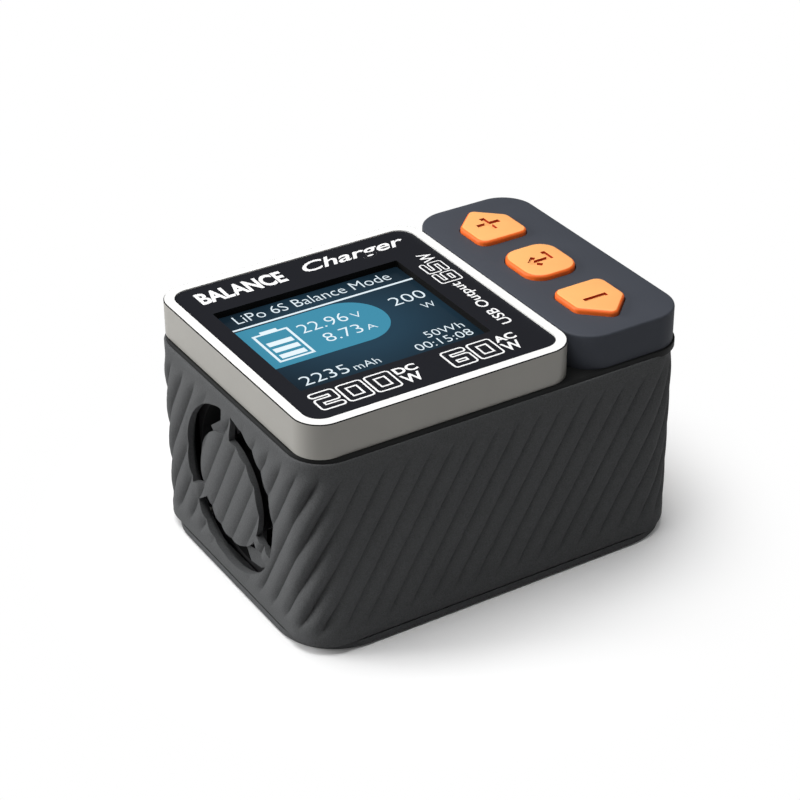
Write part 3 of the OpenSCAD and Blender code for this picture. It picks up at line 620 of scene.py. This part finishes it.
GRILLE_WALL, RECESS = 1.7 * MM, 2 * MM
BRIDGE = 6  # half the angle of a bridge between two arcs, in degrees
arcs = [grille_arc(90 + 120 * i + BRIDGE, 210 + 120 * i - BRIDGE) for i in range(3)]
let_go()
bpy.ops.mesh.primitive_cylinder_add(vertices=96, radius=SLOT_RADII[1] + 1.2 * MM, depth=RECESS,
                                    location=(-half_l + GRILLE_WALL + RECESS / 2, 0, fan_z),
                                    rotation=(0, pi / 2, 0))
recess = bpy.context.object
settle(recess)
cut_out(housing, recess)
print("housing with its recess:", len(housing.data.polygons), "faces")

# %% [markdown]
# Each socket gets an opening a hair wider than the socket, read from the socket's own box. Nine
# upright vents let warm air out above the sockets in the back.

# %% Cut the sockets and the vents
SOCKET_GAP = 0.3 * MM
VENTS, VENT_PITCH, VENT_HALF = 9, 4 * MM, 1 * MM
cutters = []
for node in RIGHT_SOCKETS:
    low, high = box_of(node)
    cutters.append(block("cutter", (half_l - DEPTH, low.y - SOCKET_GAP, low.z - SOCKET_GAP),
                         (half_l + REACH, high.y + SOCKET_GAP, high.z + SOCKET_GAP)))
for node in BACK_SOCKETS:
    low, high = box_of(node)
    cutters.append(block("cutter", (low.x - SOCKET_GAP, half_w - DEPTH, low.z - SOCKET_GAP),
                         (high.x + SOCKET_GAP, half_w + REACH, high.z + SOCKET_GAP)))
vent_x = (low.x + high.x) / 2
for i in range(VENTS):
    x = vent_x + (i - VENTS // 2) * VENT_PITCH
    cutters.append(block("cutter", (x - VENT_HALF, half_w - DEPTH, z_rim - 22 * MM),
                         (x + VENT_HALF, half_w + REACH, z_rim - 9 * MM)))
cut_out(housing, *arcs, *cutters)
smooth(housing, 38)
paint(housing, shell_skin, groove_shade_black)
# painted shade: the groove's floor inside the rim is painted near black, as a shadow under the band
paint_faces(housing, 1, lambda c, n: z_rim - 0.6 * MM < c.z < z_rim - 0.1 * MM and n.z > 0.9)
finished(housing, "housing", "lower_shell", slot="shell_plastic")

# %% [markdown]
# Two thin webs stiffen the bridges of the grille. Each is a flat shape, made from a circle with as
# many corners in the plane of the side, and extruded inwards a little behind the ribs.

# %% Webs of the grille
WEB_X, WEB_THICKNESS = -47.2 * MM, 1.3 * MM
WEBS = (((1.4, 41.6), (2.9, 40.8), (9.8, 35.4), (8.6, 34.4), (1.4, 37.0)),
        ((-4.2, 12.4), (-13.6, 15.4), (-14.8, 12.6), (-10.9, 10.1), (-6.4, 9.3)))
webs = []
for points in WEBS:
    let_go()
    bpy.ops.mesh.primitive_circle_add(vertices=len(points), fill_type="NGON")
    web = bpy.context.object
    for vertex, (y, z) in zip(web.data.vertices, points):
        vertex.co = (WEB_X, y * MM, z * MM)
    edit(web)
    bpy.ops.mesh.select_all(action="SELECT")
    bpy.ops.mesh.extrude_region_move(TRANSFORM_OT_translate={"value": (WEB_THICKNESS, 0, 0)})
    let_go()
    face_outwards(web)
    webs.append(web)
webs = join("grille_webs", webs)
paint(webs, shell_skin)
finished(webs, "housing")

# %% [markdown]
# ## The dark band
# Between the housing and the deck lies a dark cover plate, a hair smaller than the housing. It hides
# the seam where the case comes apart. It is a rounded box with its upper edge eased, and ends a hair
# below the bezel, because faces that share a plane flicker.

# %% Deck band
STEP_IN, HAIR = 0.75 * MM, 0.02 * MM
band_top = bezel_low.z - HAIR
band = block("deck_band", (-half_l + STEP_IN, -half_w + STEP_IN, z_rim - 0.45 * MM),
             (half_l - STEP_IN, half_w - STEP_IN, band_top), 8.6 * MM, 10)
round_rim(band, band_top, 0.2 * MM, 2)
smooth(band)
paint(band, cover_black)
finished(band, "housing", "top_cover", slot="cover_plastic")

# %% [markdown]
# ## The display bezel
# The bezel is a painted metal hoop with warm satin grey sides. Its top face is painted white, a
# painted highlight where the lamp above shines on the metal. The chamfer along the top edge is
# painted black, painted shade that parts the two as a fine dark line. The three paints lie on faces
# that differ only in how they are turned, so each is picked by its normal.

# %% Bezel
RIM = 2.4 * MM
bezel = block("bezel_frame", bezel_low, bezel_high, bezel_corner, 12)
round_rim(bezel, bezel_high.z, 0.2 * MM, 1)
paint(bezel, bezel_metal, groove_shade_black, bezel_highlight_white)
# painted shade: the sloping chamfer gets the near black
paint_faces(bezel, 1, lambda c, n: 0.3 < n.z < 0.9)
# painted highlight: the upward faces get the white
paint_faces(bezel, 2, lambda c, n: n.z > 0.9)
opening = block("cutter", (bezel_low.x + RIM, bezel_low.y + RIM, bezel_low.z - 3 * MM),
                (bezel_high.x - RIM, bezel_high.y - RIM, bezel_high.z + 3 * MM), bezel_corner - RIM, 10)
# the walls of the opening take the same painted white
paint(opening, bezel_highlight_white)
cut_out(bezel, opening)
smooth(bezel)
finished(bezel, "housing", "display_bezel", slot="bezel_paint")

# %% [markdown]
# ## The display panel
# A black plastic sheet fills the bezel and carries the printing. It is a hair smaller than the hoop,
# as a sheet that drops in is. Its window over the screen is a boolean cut, because the corners are
# nearly sharp. The window's walls are painted near black as painted shade.

# %% Panel
window_low, window_high = Vector((-40.8, -19.15)) * MM, Vector((5.9, 19.15)) * MM
rim_in = RIM + HAIR
panel = block("panel_sheet", (bezel_low.x + rim_in, bezel_low.y + rim_in, panel_low.z),
              (bezel_high.x - rim_in, bezel_high.y - rim_in, panel_high.z), bezel_corner - RIM, 10)
window = block("cutter", (*window_low, panel_low.z - 3 * MM), (*window_high, panel_high.z + 3 * MM),
               0.4 * MM, 3)
# painted shade: the window's walls get the near black
paint(panel, panel_black, groove_shade_black)
paint(window, groove_shade_black)
cut_out(panel, window)
smooth(panel)
finished(panel, "housing", "display_panel", slot="panel_plastic")

# %% [markdown]
# ## Printing
# Words are printed on the panel, and drawn by the screen. Ink is a raised film of a few hundredths
# of a millimetre, so a text object is made a mesh, stretched to its place, and given a hair of
# thickness. Words made as geometry stay sharp from any distance.


# %% Helpers for words and bars
INK = 0.03  # the thickness of the ink, in millimetres


def words(body, low, high, z, slant=0.0, heavy=0.0, turned=False):
    """A line of text that fills a box from low to high, as a thin mesh."""
    let_go()
    bpy.ops.object.text_add()
    text = bpy.context.object
    text.data.body = body
    text.data.size = 1
    text.data.shear = slant
    text.data.offset = heavy
    text.data.extrude = 0.01
    text.data.resolution_u = 4
    bpy.ops.object.convert(target="MESH")
    text = bpy.context.object
    points = [v.co.copy() for v in text.data.vertices]
    if turned:
        points = [Vector((-p.y, p.x, p.z)) for p in points]
    first = [min(p[i] for p in points) for i in range(3)]
    last = [max(p[i] for p in points) for i in range(3)]
    for vertex, p in zip(text.data.vertices, points):
        share = [(p[i] - first[i]) / (last[i] - first[i]) for i in range(3)]
        vertex.co = (low[0] * MM + share[0] * (high[0] - low[0]) * MM,
                     low[1] * MM + share[1] * (high[1] - low[1]) * MM, z + share[2] * INK * MM)
    return text


def bar(low, high, z, corner=0.0, segments=6):
    """A flat printed bar."""
    return block("bar", (low[0] * MM, low[1] * MM, z), (high[0] * MM, high[1] * MM, z + INK * MM),
                 corner * MM, segments)


print("ink thickness (mm):", INK)

# %% [markdown]
# The power figures are square and hollow, as on many chargers. A figure is a path of strokes: wide
# white bars first, and narrower black bars on top of them leave only the outline. Each bar lies a
# hair higher than the one before, because faces in one plane would flicker where bars cross.


# %% Helper for outlined figures
FIGURES = {"2": ((0, 1), (1, 1), (1, 0.5), (0, 0.5), (0, 0), (1, 0)),
           "0": ((0, 0), (1, 0), (1, 1), (0, 1), (0, 0)),
           "6": ((1, 1), (0, 1), (0, 0), (1, 0), (1, 0.5), (0, 0.5)),
           "5": ((1, 1), (0, 1), (0, 0.5), (1, 0.5), (1, 0), (0, 0))}


def outline_figure(figure, low, high, z, stroke, line, turned=False):
    """A square figure drawn as an outline: white strokes, with narrower black strokes on them."""
    bars = {0: [], 1: []}
    path = FIGURES[figure]
    for layer, width in ((0, stroke), (1, stroke - 2 * line)):
        half = width / 2
        for (ax, ay), (bx, by) in zip(path, path[1:]):
            if turned:
                ax, ay, bx, by = 1 - ay, ax, 1 - by, bx
            place = [(low[0] + stroke / 2 + x * (high[0] - low[0] - stroke),
                      low[1] + stroke / 2 + y * (high[1] - low[1] - stroke))
                     for x, y in ((ax, ay), (bx, by))]
            x0, x1 = sorted(p[0] for p in place)
            y0, y1 = sorted(p[1] for p in place)
            lift = (INK * layer + 0.003 * len(bars[layer])) * MM
            bars[layer].append(bar((x0 - half, y0 - half), (x1 + half, y1 + half), z + lift,
                                   0.45 * width, 4))
    return bars


print("figures:", sorted(FIGURES))

# %% [markdown]
# The panel carries plain words that say what the charger is, and its power as outlined figures. The
# printing sinks a hair into the sheet, so that no gap shows under it from the side.

# %% Panel printing
z_print = panel_high.z - 0.005 * MM
prints = [words("BALANCE", (-40.6, 23.6), (-19.2, 28.9), z_print, heavy=0.035),
          words("Charger", (-14.2, 23.4), (12.4, 29.2), z_print, slant=0.35, heavy=0.015),
          words("DC", (-20.8, -24.2), (-15.4, -21.6), z_print, heavy=0.03),
          words("W", (-20.8, -28.3), (-16.2, -24.9), z_print, heavy=0.02),
          words("AC", (4.1, -24.2), (9.3, -21.6), z_print, heavy=0.03),
          words("W", (4.1, -28.3), (8.4, -24.9), z_print, heavy=0.02),
          words("USB Output", (9.6, -18.1), (13.2, 3.2), z_print, heavy=0.01, turned=True),
          words("W", (10.6, 14.6), (14.0, 18.6), z_print, heavy=0.01, turned=True)]
LYING, UPRIGHT = (2.05, 0.44, False), (1.6, 0.36, True)  # stroke, line, and whether it is turned
ROW = -28.4, -21.3
figures = [(figure, (x0, ROW[0]), (x1, ROW[1]), LYING)
           for figure, x0, x1 in (("2", -40.9, -34.9), ("0", -34.4, -28.2), ("0", -27.7, -21.5),
                                  ("6", -9.0, -3.0), ("0", -2.5, 3.6))]
figures += [("6", (8.4, 4.0), (14.2, 8.9), UPRIGHT), ("5", (8.4, 9.3), (14.2, 14.2), UPRIGHT)]
print_fill = []
for figure, low, high, style in figures:
    layers = outline_figure(figure, low, high, z_print, *style)
    prints += layers[0]
    print_fill += layers[1]
printing = join("panel_printing", prints)
paint(printing, print_white)
finished(printing, "housing")
filling = join("panel_figure_filling", print_fill)
paint(filling, panel_black)
finished(filling, "housing")

# %% [markdown]
# ## The screen
# The screen is a dark teal glass that glows faintly, so that its drawing reads in any light. Its
# glow fades to black at its edges, a painted shade of the recess round it. The fade is a colour by
# the distance from the middle, measured on the piece itself.


# %% Screen finishes
def screen_finish():
    """A faintly lit screen whose glow darkens towards its edges as painted shade."""
    material = finish("screen_teal", (10, 22, 30), rough=0.18, grain=2, relief=0.0, mottle=0.02,
                      shine=0.25)
    nodes, links = material.node_tree.nodes, material.node_tree.links
    shader = nodes["Principled BSDF"]
    place = nodes.new("ShaderNodeTexCoord")
    middle = (window_low + window_high) / 2
    half = (window_high - window_low) / 2
    centre = add_node(nodes, "Mapping", Location=(-middle.x / half.x, -middle.y / half.y, 0),
                      Scale=(1 / half.x, 1 / half.y, 0))
    links.new(place.outputs["Object"], centre.inputs["Vector"])
    length = nodes.new("ShaderNodeVectorMath")
    length.operation = "LENGTH"
    links.new(centre.outputs["Vector"], length.inputs[0])
    # painted shade: the glow darkens from the middle out to the window's edges
    ramp = nodes.new("ShaderNodeValToRGB")
    stops = (0.35, (34, 62, 80)), (1, (14, 24, 32))
    for stop, (position, colour) in zip(ramp.color_ramp.elements, stops):
        stop.position = position
        stop.color = (*srgb(*colour), 1)
    painted_edge_shade = nodes.new("ShaderNodeMath")
    painted_edge_shade.operation = "MULTIPLY"
    painted_edge_shade.inputs[1].default_value = 0.78
    links.new(length.outputs["Value"], painted_edge_shade.inputs[0])
    links.new(painted_edge_shade.outputs[0], ramp.inputs["Fac"])
    links.new(ramp.outputs["Color"], shader.inputs["Emission Color"])
    shader.inputs["Emission Strength"].default_value = 0.8
    return material


screen_teal = screen_finish()
screen_blue = finish("screen_blue", (30, 70, 84), rough=0.2, grain=0.3, relief=0, mottle=0.02,
                     shine=0.25, glow=(62, 141, 170, 0.72))
screen_white = finish("screen_white", (120, 128, 132), rough=0.3, grain=0.3, relief=0, mottle=0.02,
                      shine=0.25, glow=(214, 226, 232, 0.85))
print("screen finishes:", screen_teal.name, screen_blue.name, screen_white.name)

# %% [markdown]
# The glass is a block with an eased top edge. On it lies a blue field with one round end: a bar whose
# two corners on the right are bevelled by half its height, so that they meet in an arc.

# %% Screen and its field
glass = block("screen_face", glass_low, glass_high, 0.6 * MM, 3)
round_rim(glass, glass_high.z, 0.15 * MM, 2)
paint(glass, screen_teal)
finished(glass, "housing", "screen_glass", slot="screen_glass")

z_lcd = glass_high.z - 0.005 * MM
field = bar((-40.8, -6.4), (-7.4, 11.6), z_lcd)
field.name = "screen_field"
edit(field, "EDGE")
pick_edges(field, lambda a, b: abs(a.z - b.z) > 0.02 * MM and a.x > -8 * MM)
bpy.ops.mesh.bevel(offset=8.95 * MM, segments=18, affect="EDGES")
let_go()
paint(field, screen_blue)
finished(field, "housing")

# %% [markdown]
# The drawing is laid out as on such chargers: a title over a line, a battery with its voltage and
# current, and figures for power, energy, time and charge. Its strokes are thinned, as a screen's
# letters are finer than printed ones.


# %% Screen drawing
z_lcd += HAIR
LCD_WORDS = (("LiPo 6S Balance Mode", (-37.0, 14.6), (2.0, 18.0)),
             ("22.96", (-27.1, 3.6), (-15.5, 7.4)), ("V", (-14.4, 3.6), (-12.1, 5.9)),
             ("8.73", (-24.3, -2.4), (-15.3, 1.3)), ("A", (-14.4, -2.4), (-12.0, -0.3)),
             ("200", (-4.1, 3.6), (4.4, 7.2)), ("W", (0.9, -0.9), (4.0, 1.4)),
             ("50Wh", (-5.5, -12.2), (3.9, -9.6)), ("00:15:08", (-10.1, -15.9), (3.9, -13.2)),
             ("2235", (-37.6, -15.6), (-26.6, -12.0)), ("mAh", (-25.4, -15.6), (-19.2, -13.2)))
lines = [words(body, low, high, z_lcd, heavy=-0.012) for body, low, high in LCD_WORDS]
lines.append(bar((-40.8, 12.1), (5.9, 12.7), z_lcd))
left, right, bottom, top, line = -37.4, -28.7, -4.5, 8.1, 0.6
frame_bars = [(left, bottom, left + line, top), (right - line, bottom, right, top),
              (left, bottom, right, bottom + line), (left, top - line, right, top),
              (left + 2.3, top, right - 2.3, top + 0.9)]
lines += [bar((x0, y0), (x1, y1), z_lcd) for x0, y0, x1, y1 in frame_bars]
lines += [bar((left + 1.3, y), (right - 1.3, y + 1.7), z_lcd) for y in (-3.3, -0.5, 2.3)]
drawing = join("screen_drawing", lines)
paint(drawing, screen_white)
finished(drawing, "housing")

# %% [markdown]
# ## The key pod
# The pod is a moulded shell with an opening for each key, a hair wider than the key. So one outline
# serves both: a polygon whose corners are arcs, grown by the gap for the hole. The upper and the
# lower key are one arrow, turned by half a turn.


# %% Outlines of the keys
KEY_X = 31.9
ARROW = ((-4.2, -5.1, 2.4), (4.2, -5.1, 2.4), (4.1, 0.9, 2.5), (0, 5.9, 1.6), (-4.1, 0.9, 2.5))
SOFT_SQUARE = ((-2.2, -2.8, 4.4), (2.2, -2.8, 4.4), (2.2, 2.8, 4.4), (-2.2, 2.8, 4.4))
KEYS = (("up", ARROW, 20.9, 0), ("enter", SOFT_SQUARE, 0.0, 0), ("down", ARROW, -20.9, pi))


def outline(corners, grow, middle_y, turn, steps=6):
    """The points round an outline whose corners are arcs, each given by its centre and radius."""
    points = []
    count = len(corners)
    for i, (x, y, r) in enumerate(corners):
        before, after = corners[i - 1], corners[(i + 1) % count]
        start = atan2(y - before[1], x - before[0]) - pi / 2
        end = atan2(after[1] - y, after[0] - x) - pi / 2
        while end < start:
            end += 2 * pi
        for k in range(steps + 1):
            a = start + (end - start) * k / steps
            points.append((x + (r + grow) * cos(a), y + (r + grow) * sin(a)))
    return [((KEY_X + cos(turn) * x - sin(turn) * y) * MM, (middle_y + sin(turn) * x + cos(turn) * y) * MM)
            for x, y in points]


def prism(name, points, low, high):
    """A solid with the given outline, made from a filled circle that is moved to it and extruded."""
    let_go()
    bpy.ops.mesh.primitive_circle_add(vertices=len(points), fill_type="NGON")
    solid = bpy.context.object
    solid.name = name
    for vertex, (x, y) in zip(solid.data.vertices, points):
        vertex.co = (x, y, low)
    edit(solid)
    bpy.ops.mesh.select_all(action="SELECT")
    bpy.ops.mesh.extrude_region_move(TRANSFORM_OT_translate={"value": (0, 0, high - low)})
    let_go()
    face_outwards(solid)
    return solid


print("points round each key:", [len(outline(corners, 0, y, turn)) for _, corners, y, turn in KEYS])

# %% [markdown]
# The pod is a rounded block. A hollow is cut in it from below, which leaves a two millimetre wall as
# in a moulded part. The three holes are cut last, so that they stay clean.

# %% Pod
KEY_GAP, POD_WALL = 0.25, 2 * MM
pod = block("key_pod", pod_low, pod_high, pod_corner, 12)
round_rim(pod, pod_high.z, 0.45 * MM, 3)
hollow = block("cutter", (pod_low.x + POD_WALL, pod_low.y + POD_WALL, pod_low.z - 2 * MM),
               (pod_high.x - POD_WALL, pod_high.y - POD_WALL, pod_high.z - 2.2 * MM), pod_corner - POD_WALL)
holes = [prism("cutter", outline(corners, KEY_GAP, y, turn), pod_high.z - 4 * MM, pod_high.z + 2 * MM)
         for _, corners, y, turn in KEYS]
cut_out(pod, hollow)
cut_out(pod, *holes)
smooth(pod)
paint(pod, pod_skin)
finished(pod, "housing", "button_pod", slot="pod_plastic")

# %% [markdown]
# ## The keys
# Each key is an orange cap with a sign sunk in its top: plus, return and minus. Each stroke is cut
# with a small block. The two strokes of the return's arrow head are turned about the origin and then
# moved to its tip, so that they meet there.


# %% Signs of the keys
SIGN_DEPTH = 0.6 * MM


def sign(name, y, z):
    """The cutters for one key's sign."""
    def stroke(x0, y0, x1, y1):
        return block("cutter", ((KEY_X + x0) * MM, (y + y0) * MM, z - SIGN_DEPTH),
                     ((KEY_X + x1) * MM, (y + y1) * MM, z + 2 * MM))

    if name == "up":
        return [stroke(-3, -0.65, 3, 0.65), stroke(-0.65, -3, 0.65, 3)]
    if name == "down":
        return [stroke(-3, -0.65, 3, 0.65)]
    tip = Vector((KEY_X - 3.1, y - 0.4, 0)) * MM
    strokes = [stroke(-2.6, -1.0, 3, 0.2), stroke(1.8, -1.0, 3, 2.8)]
    for side in (1, -1):
        wing = block("cutter", (0, -0.55 * MM, z - SIGN_DEPTH), (2.9 * MM, 0.55 * MM, z + 2 * MM))
        hold(wing)
        bpy.ops.transform.rotate(value=-side * radians(42), orient_axis="Z", center_override=(0, 0, 0))
        bpy.ops.transform.translate(value=tip)
        settle(wing)
        strokes.append(wing)
    return strokes


print("sign depth (mm):", round(SIGN_DEPTH / MM, 2))

# %% [markdown]
# A cap has a rounded top edge, and a flange that keeps it under the pod. Its top is painted a light
# orange as painted light, its sides a deeper orange as painted shade, and the walls of its sign are
# deeper still as painted shade, where the cutter's finish stays. Each cap rides on its own button,
# so it sinks when its key is pressed.

# %% Keys
FLANGE_GROW, FLANGE_TOP = 0.85, 0.9 * MM
for name, corners, y, turn in KEYS:
    low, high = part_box(f"{name}_key")
    key = prism(f"{name}_cap", outline(corners, 0, y, turn), low[2] + FLANGE_TOP / 2, high[2])
    round_rim(key, high[2], 0.7 * MM, 4)
    paint(key, key_lit_orange, key_shaded_side, key_sign_shade)
    # painted shade: faces that turn away from the top get the shaded orange
    paint_faces(key, 1, lambda c, n: n.z < 0.85)
    cutters = sign(name, y, high[2])
    for cutter in cutters:
        # painted shade: the sign's walls get the darkest orange, its floor the lit orange
        paint(cutter, key_sign_shade, key_lit_orange)
        paint_faces(cutter, 1, lambda c, n: n.z < -0.9)
        cut_out(key, cutter)
    flange = prism("flange", outline(corners, FLANGE_GROW, y, turn), low[2], low[2] + FLANGE_TOP)
    paint(flange, key_lit_orange)
    key = join(f"{name}_cap", [key, flange])
    smooth(key)
    finished(key, f"{name}_button", f"{name}_key", slot="key_plastic")

# %% [markdown]
# ## The camera
# The charger is seen from above its left front corner, through a long lens that keeps its edges
# nearly parallel. The camera is placed by its turn round the charger, its height and its distance,
# which are easier to think in than a position.

# %% Camera
camera_data = bpy.data.cameras.new("camera")
camera_data.lens = 103.5
camera_data.clip_start = 0.01
camera = bpy.data.objects.new("camera", camera_data)
bpy.context.collection.objects.link(camera)
azimuth, elevation, roll = radians(-31.75), radians(31.13), radians(-0.24)
distance = 454.6 * MM
aim = Vector((-30.4, -40.8, 62.2)) * MM
back = Vector((sin(azimuth) * cos(elevation), -cos(azimuth) * cos(elevation), sin(elevation)))
camera.location = aim + distance * back
camera.rotation_euler = (back.to_track_quat("Z", "Y").to_matrix() @ Matrix.Rotation(roll, 3, "Z")).to_euler()
bpy.context.scene.camera = camera
print("camera at (mm):", [round(v / MM) for v in camera.location])

# %% [markdown]
# ## The floor
# The charger stands on plain pale paper. Near it the paper is a real surface that catches its soft
# shadow. Farther out it turns into even white light for the camera and for glossy and clear
# surfaces. Its bounce is held back, so the ribs aren't washed out.


# %% White for some rays only
def shows_white(nodes, links):
    """A value that is 1 for rays from the camera or off a glossy or clear surface."""
    path = nodes.new("ShaderNodeLightPath")
    total = None
    for ray in ("Is Camera Ray", "Is Glossy Ray", "Is Transmission Ray"):
        if total is None:
            total = path.outputs[ray]
            continue
        either = nodes.new("ShaderNodeMath")
        either.operation = "MAXIMUM"
        links.new(total, either.inputs[0])
        links.new(path.outputs[ray], either.inputs[1])
        total = either.outputs[0]
    return total


print("rays that see white: camera, glossy, transmission")

# %% [markdown]
# The paper's finish mixes a matte surface with plain light. How much of each is decided by the
# distance from the charger's middle, through a smooth ramp, so that no edge shows on the floor.

# %% Floor
PAPER, PAPER_BOUNCE = 0.9, 0.52
SHADOW_END, WHITE_START = 0.045, 0.09
let_go()
bpy.ops.mesh.primitive_plane_add(size=6)
floor = bpy.context.object
floor.name = "floor"
paper = bpy.data.materials.new("paper")
paper.use_nodes = True
nodes, links = paper.node_tree.nodes, paper.node_tree.links
shader = nodes["Principled BSDF"]
shader.inputs["Roughness"].default_value = 1
tone = colour_mix(nodes, [PAPER] * 3, [PAPER_BOUNCE] * 3)
rays = nodes.new("ShaderNodeLightPath")
links.new(rays.outputs["Is Diffuse Ray"], tone.inputs[0])
links.new(tone.outputs[2], shader.inputs["Base Color"])
shader.inputs["Specular IOR Level"].default_value = 0
place = nodes.new("ShaderNodeTexCoord")
away = nodes.new("ShaderNodeVectorMath")
away.operation = "LENGTH"
links.new(place.outputs["Object"], away.inputs[0])
blend = add_node(nodes, "MapRange", From_Min=SHADOW_END, From_Max=WHITE_START)
blend.interpolation_type = "SMOOTHSTEP"
links.new(away.outputs["Value"], blend.inputs["Value"])
both = nodes.new("ShaderNodeMath")
both.operation = "MULTIPLY"
links.new(blend.outputs["Result"], both.inputs[0])
links.new(shows_white(nodes, links), both.inputs[1])
white = nodes.new("ShaderNodeEmission")
mix = nodes.new("ShaderNodeMixShader")
links.new(both.outputs[0], mix.inputs["Fac"])
links.new(shader.outputs[0], mix.inputs[1])
links.new(white.outputs[0], mix.inputs[2])
links.new(mix.outputs[0], nodes["Material Output"].inputs["Surface"])
paint(floor, paper)
print("floor:", [round(v, 1) for v in floor.dimensions], "m")

# %% [markdown]
# ## The light
# The room is white to the camera and dim to everything else. The lamp above is a little behind the
# charger, so it lights the deck and grazes the ribs on the front. The left one is farther back, so
# the fan side is mid grey and the front left corner falls off. A weak one on the right opens the
# shadows on the front.

# %% World and lamps
world = bpy.data.worlds.new("world")
bpy.context.scene.world = world
world.use_nodes = True
nodes, links = world.node_tree.nodes, world.node_tree.links
background = nodes["Background"]
background.inputs["Color"].default_value = (1, 1, 1, 1)
strength = add_node(nodes, "MapRange", To_Min=0.1, To_Max=1)
camera_only = nodes.new("ShaderNodeLightPath")
links.new(camera_only.outputs["Is Camera Ray"], strength.inputs["Value"])
links.new(strength.outputs["Result"], background.inputs["Strength"])


def lamp(name, place, size, watts):
    """A soft square lamp that faces the charger."""
    data = bpy.data.lights.new(name, "AREA")
    data.shape = "SQUARE"
    data.size = size
    data.energy = watts
    light = bpy.data.objects.new(name, data)
    bpy.context.collection.objects.link(light)
    light.location = place
    light.rotation_euler = (Vector(place) - Vector((0, 0, 0.03))).to_track_quat("Z", "Y").to_euler()
    return light


lamp("top_lamp", (-0.12, 0.06, 0.75), 0.55, 6.7)
lamp("left_lamp", (-0.72, 0.5, 0.3), 0.45, 7.4)
lamp("front_lamp", (0.5, -0.8, 0.3), 0.4, 0.3)
bpy.context.scene.view_settings.view_transform = "Standard"
print("lamps:", len(bpy.data.lights))
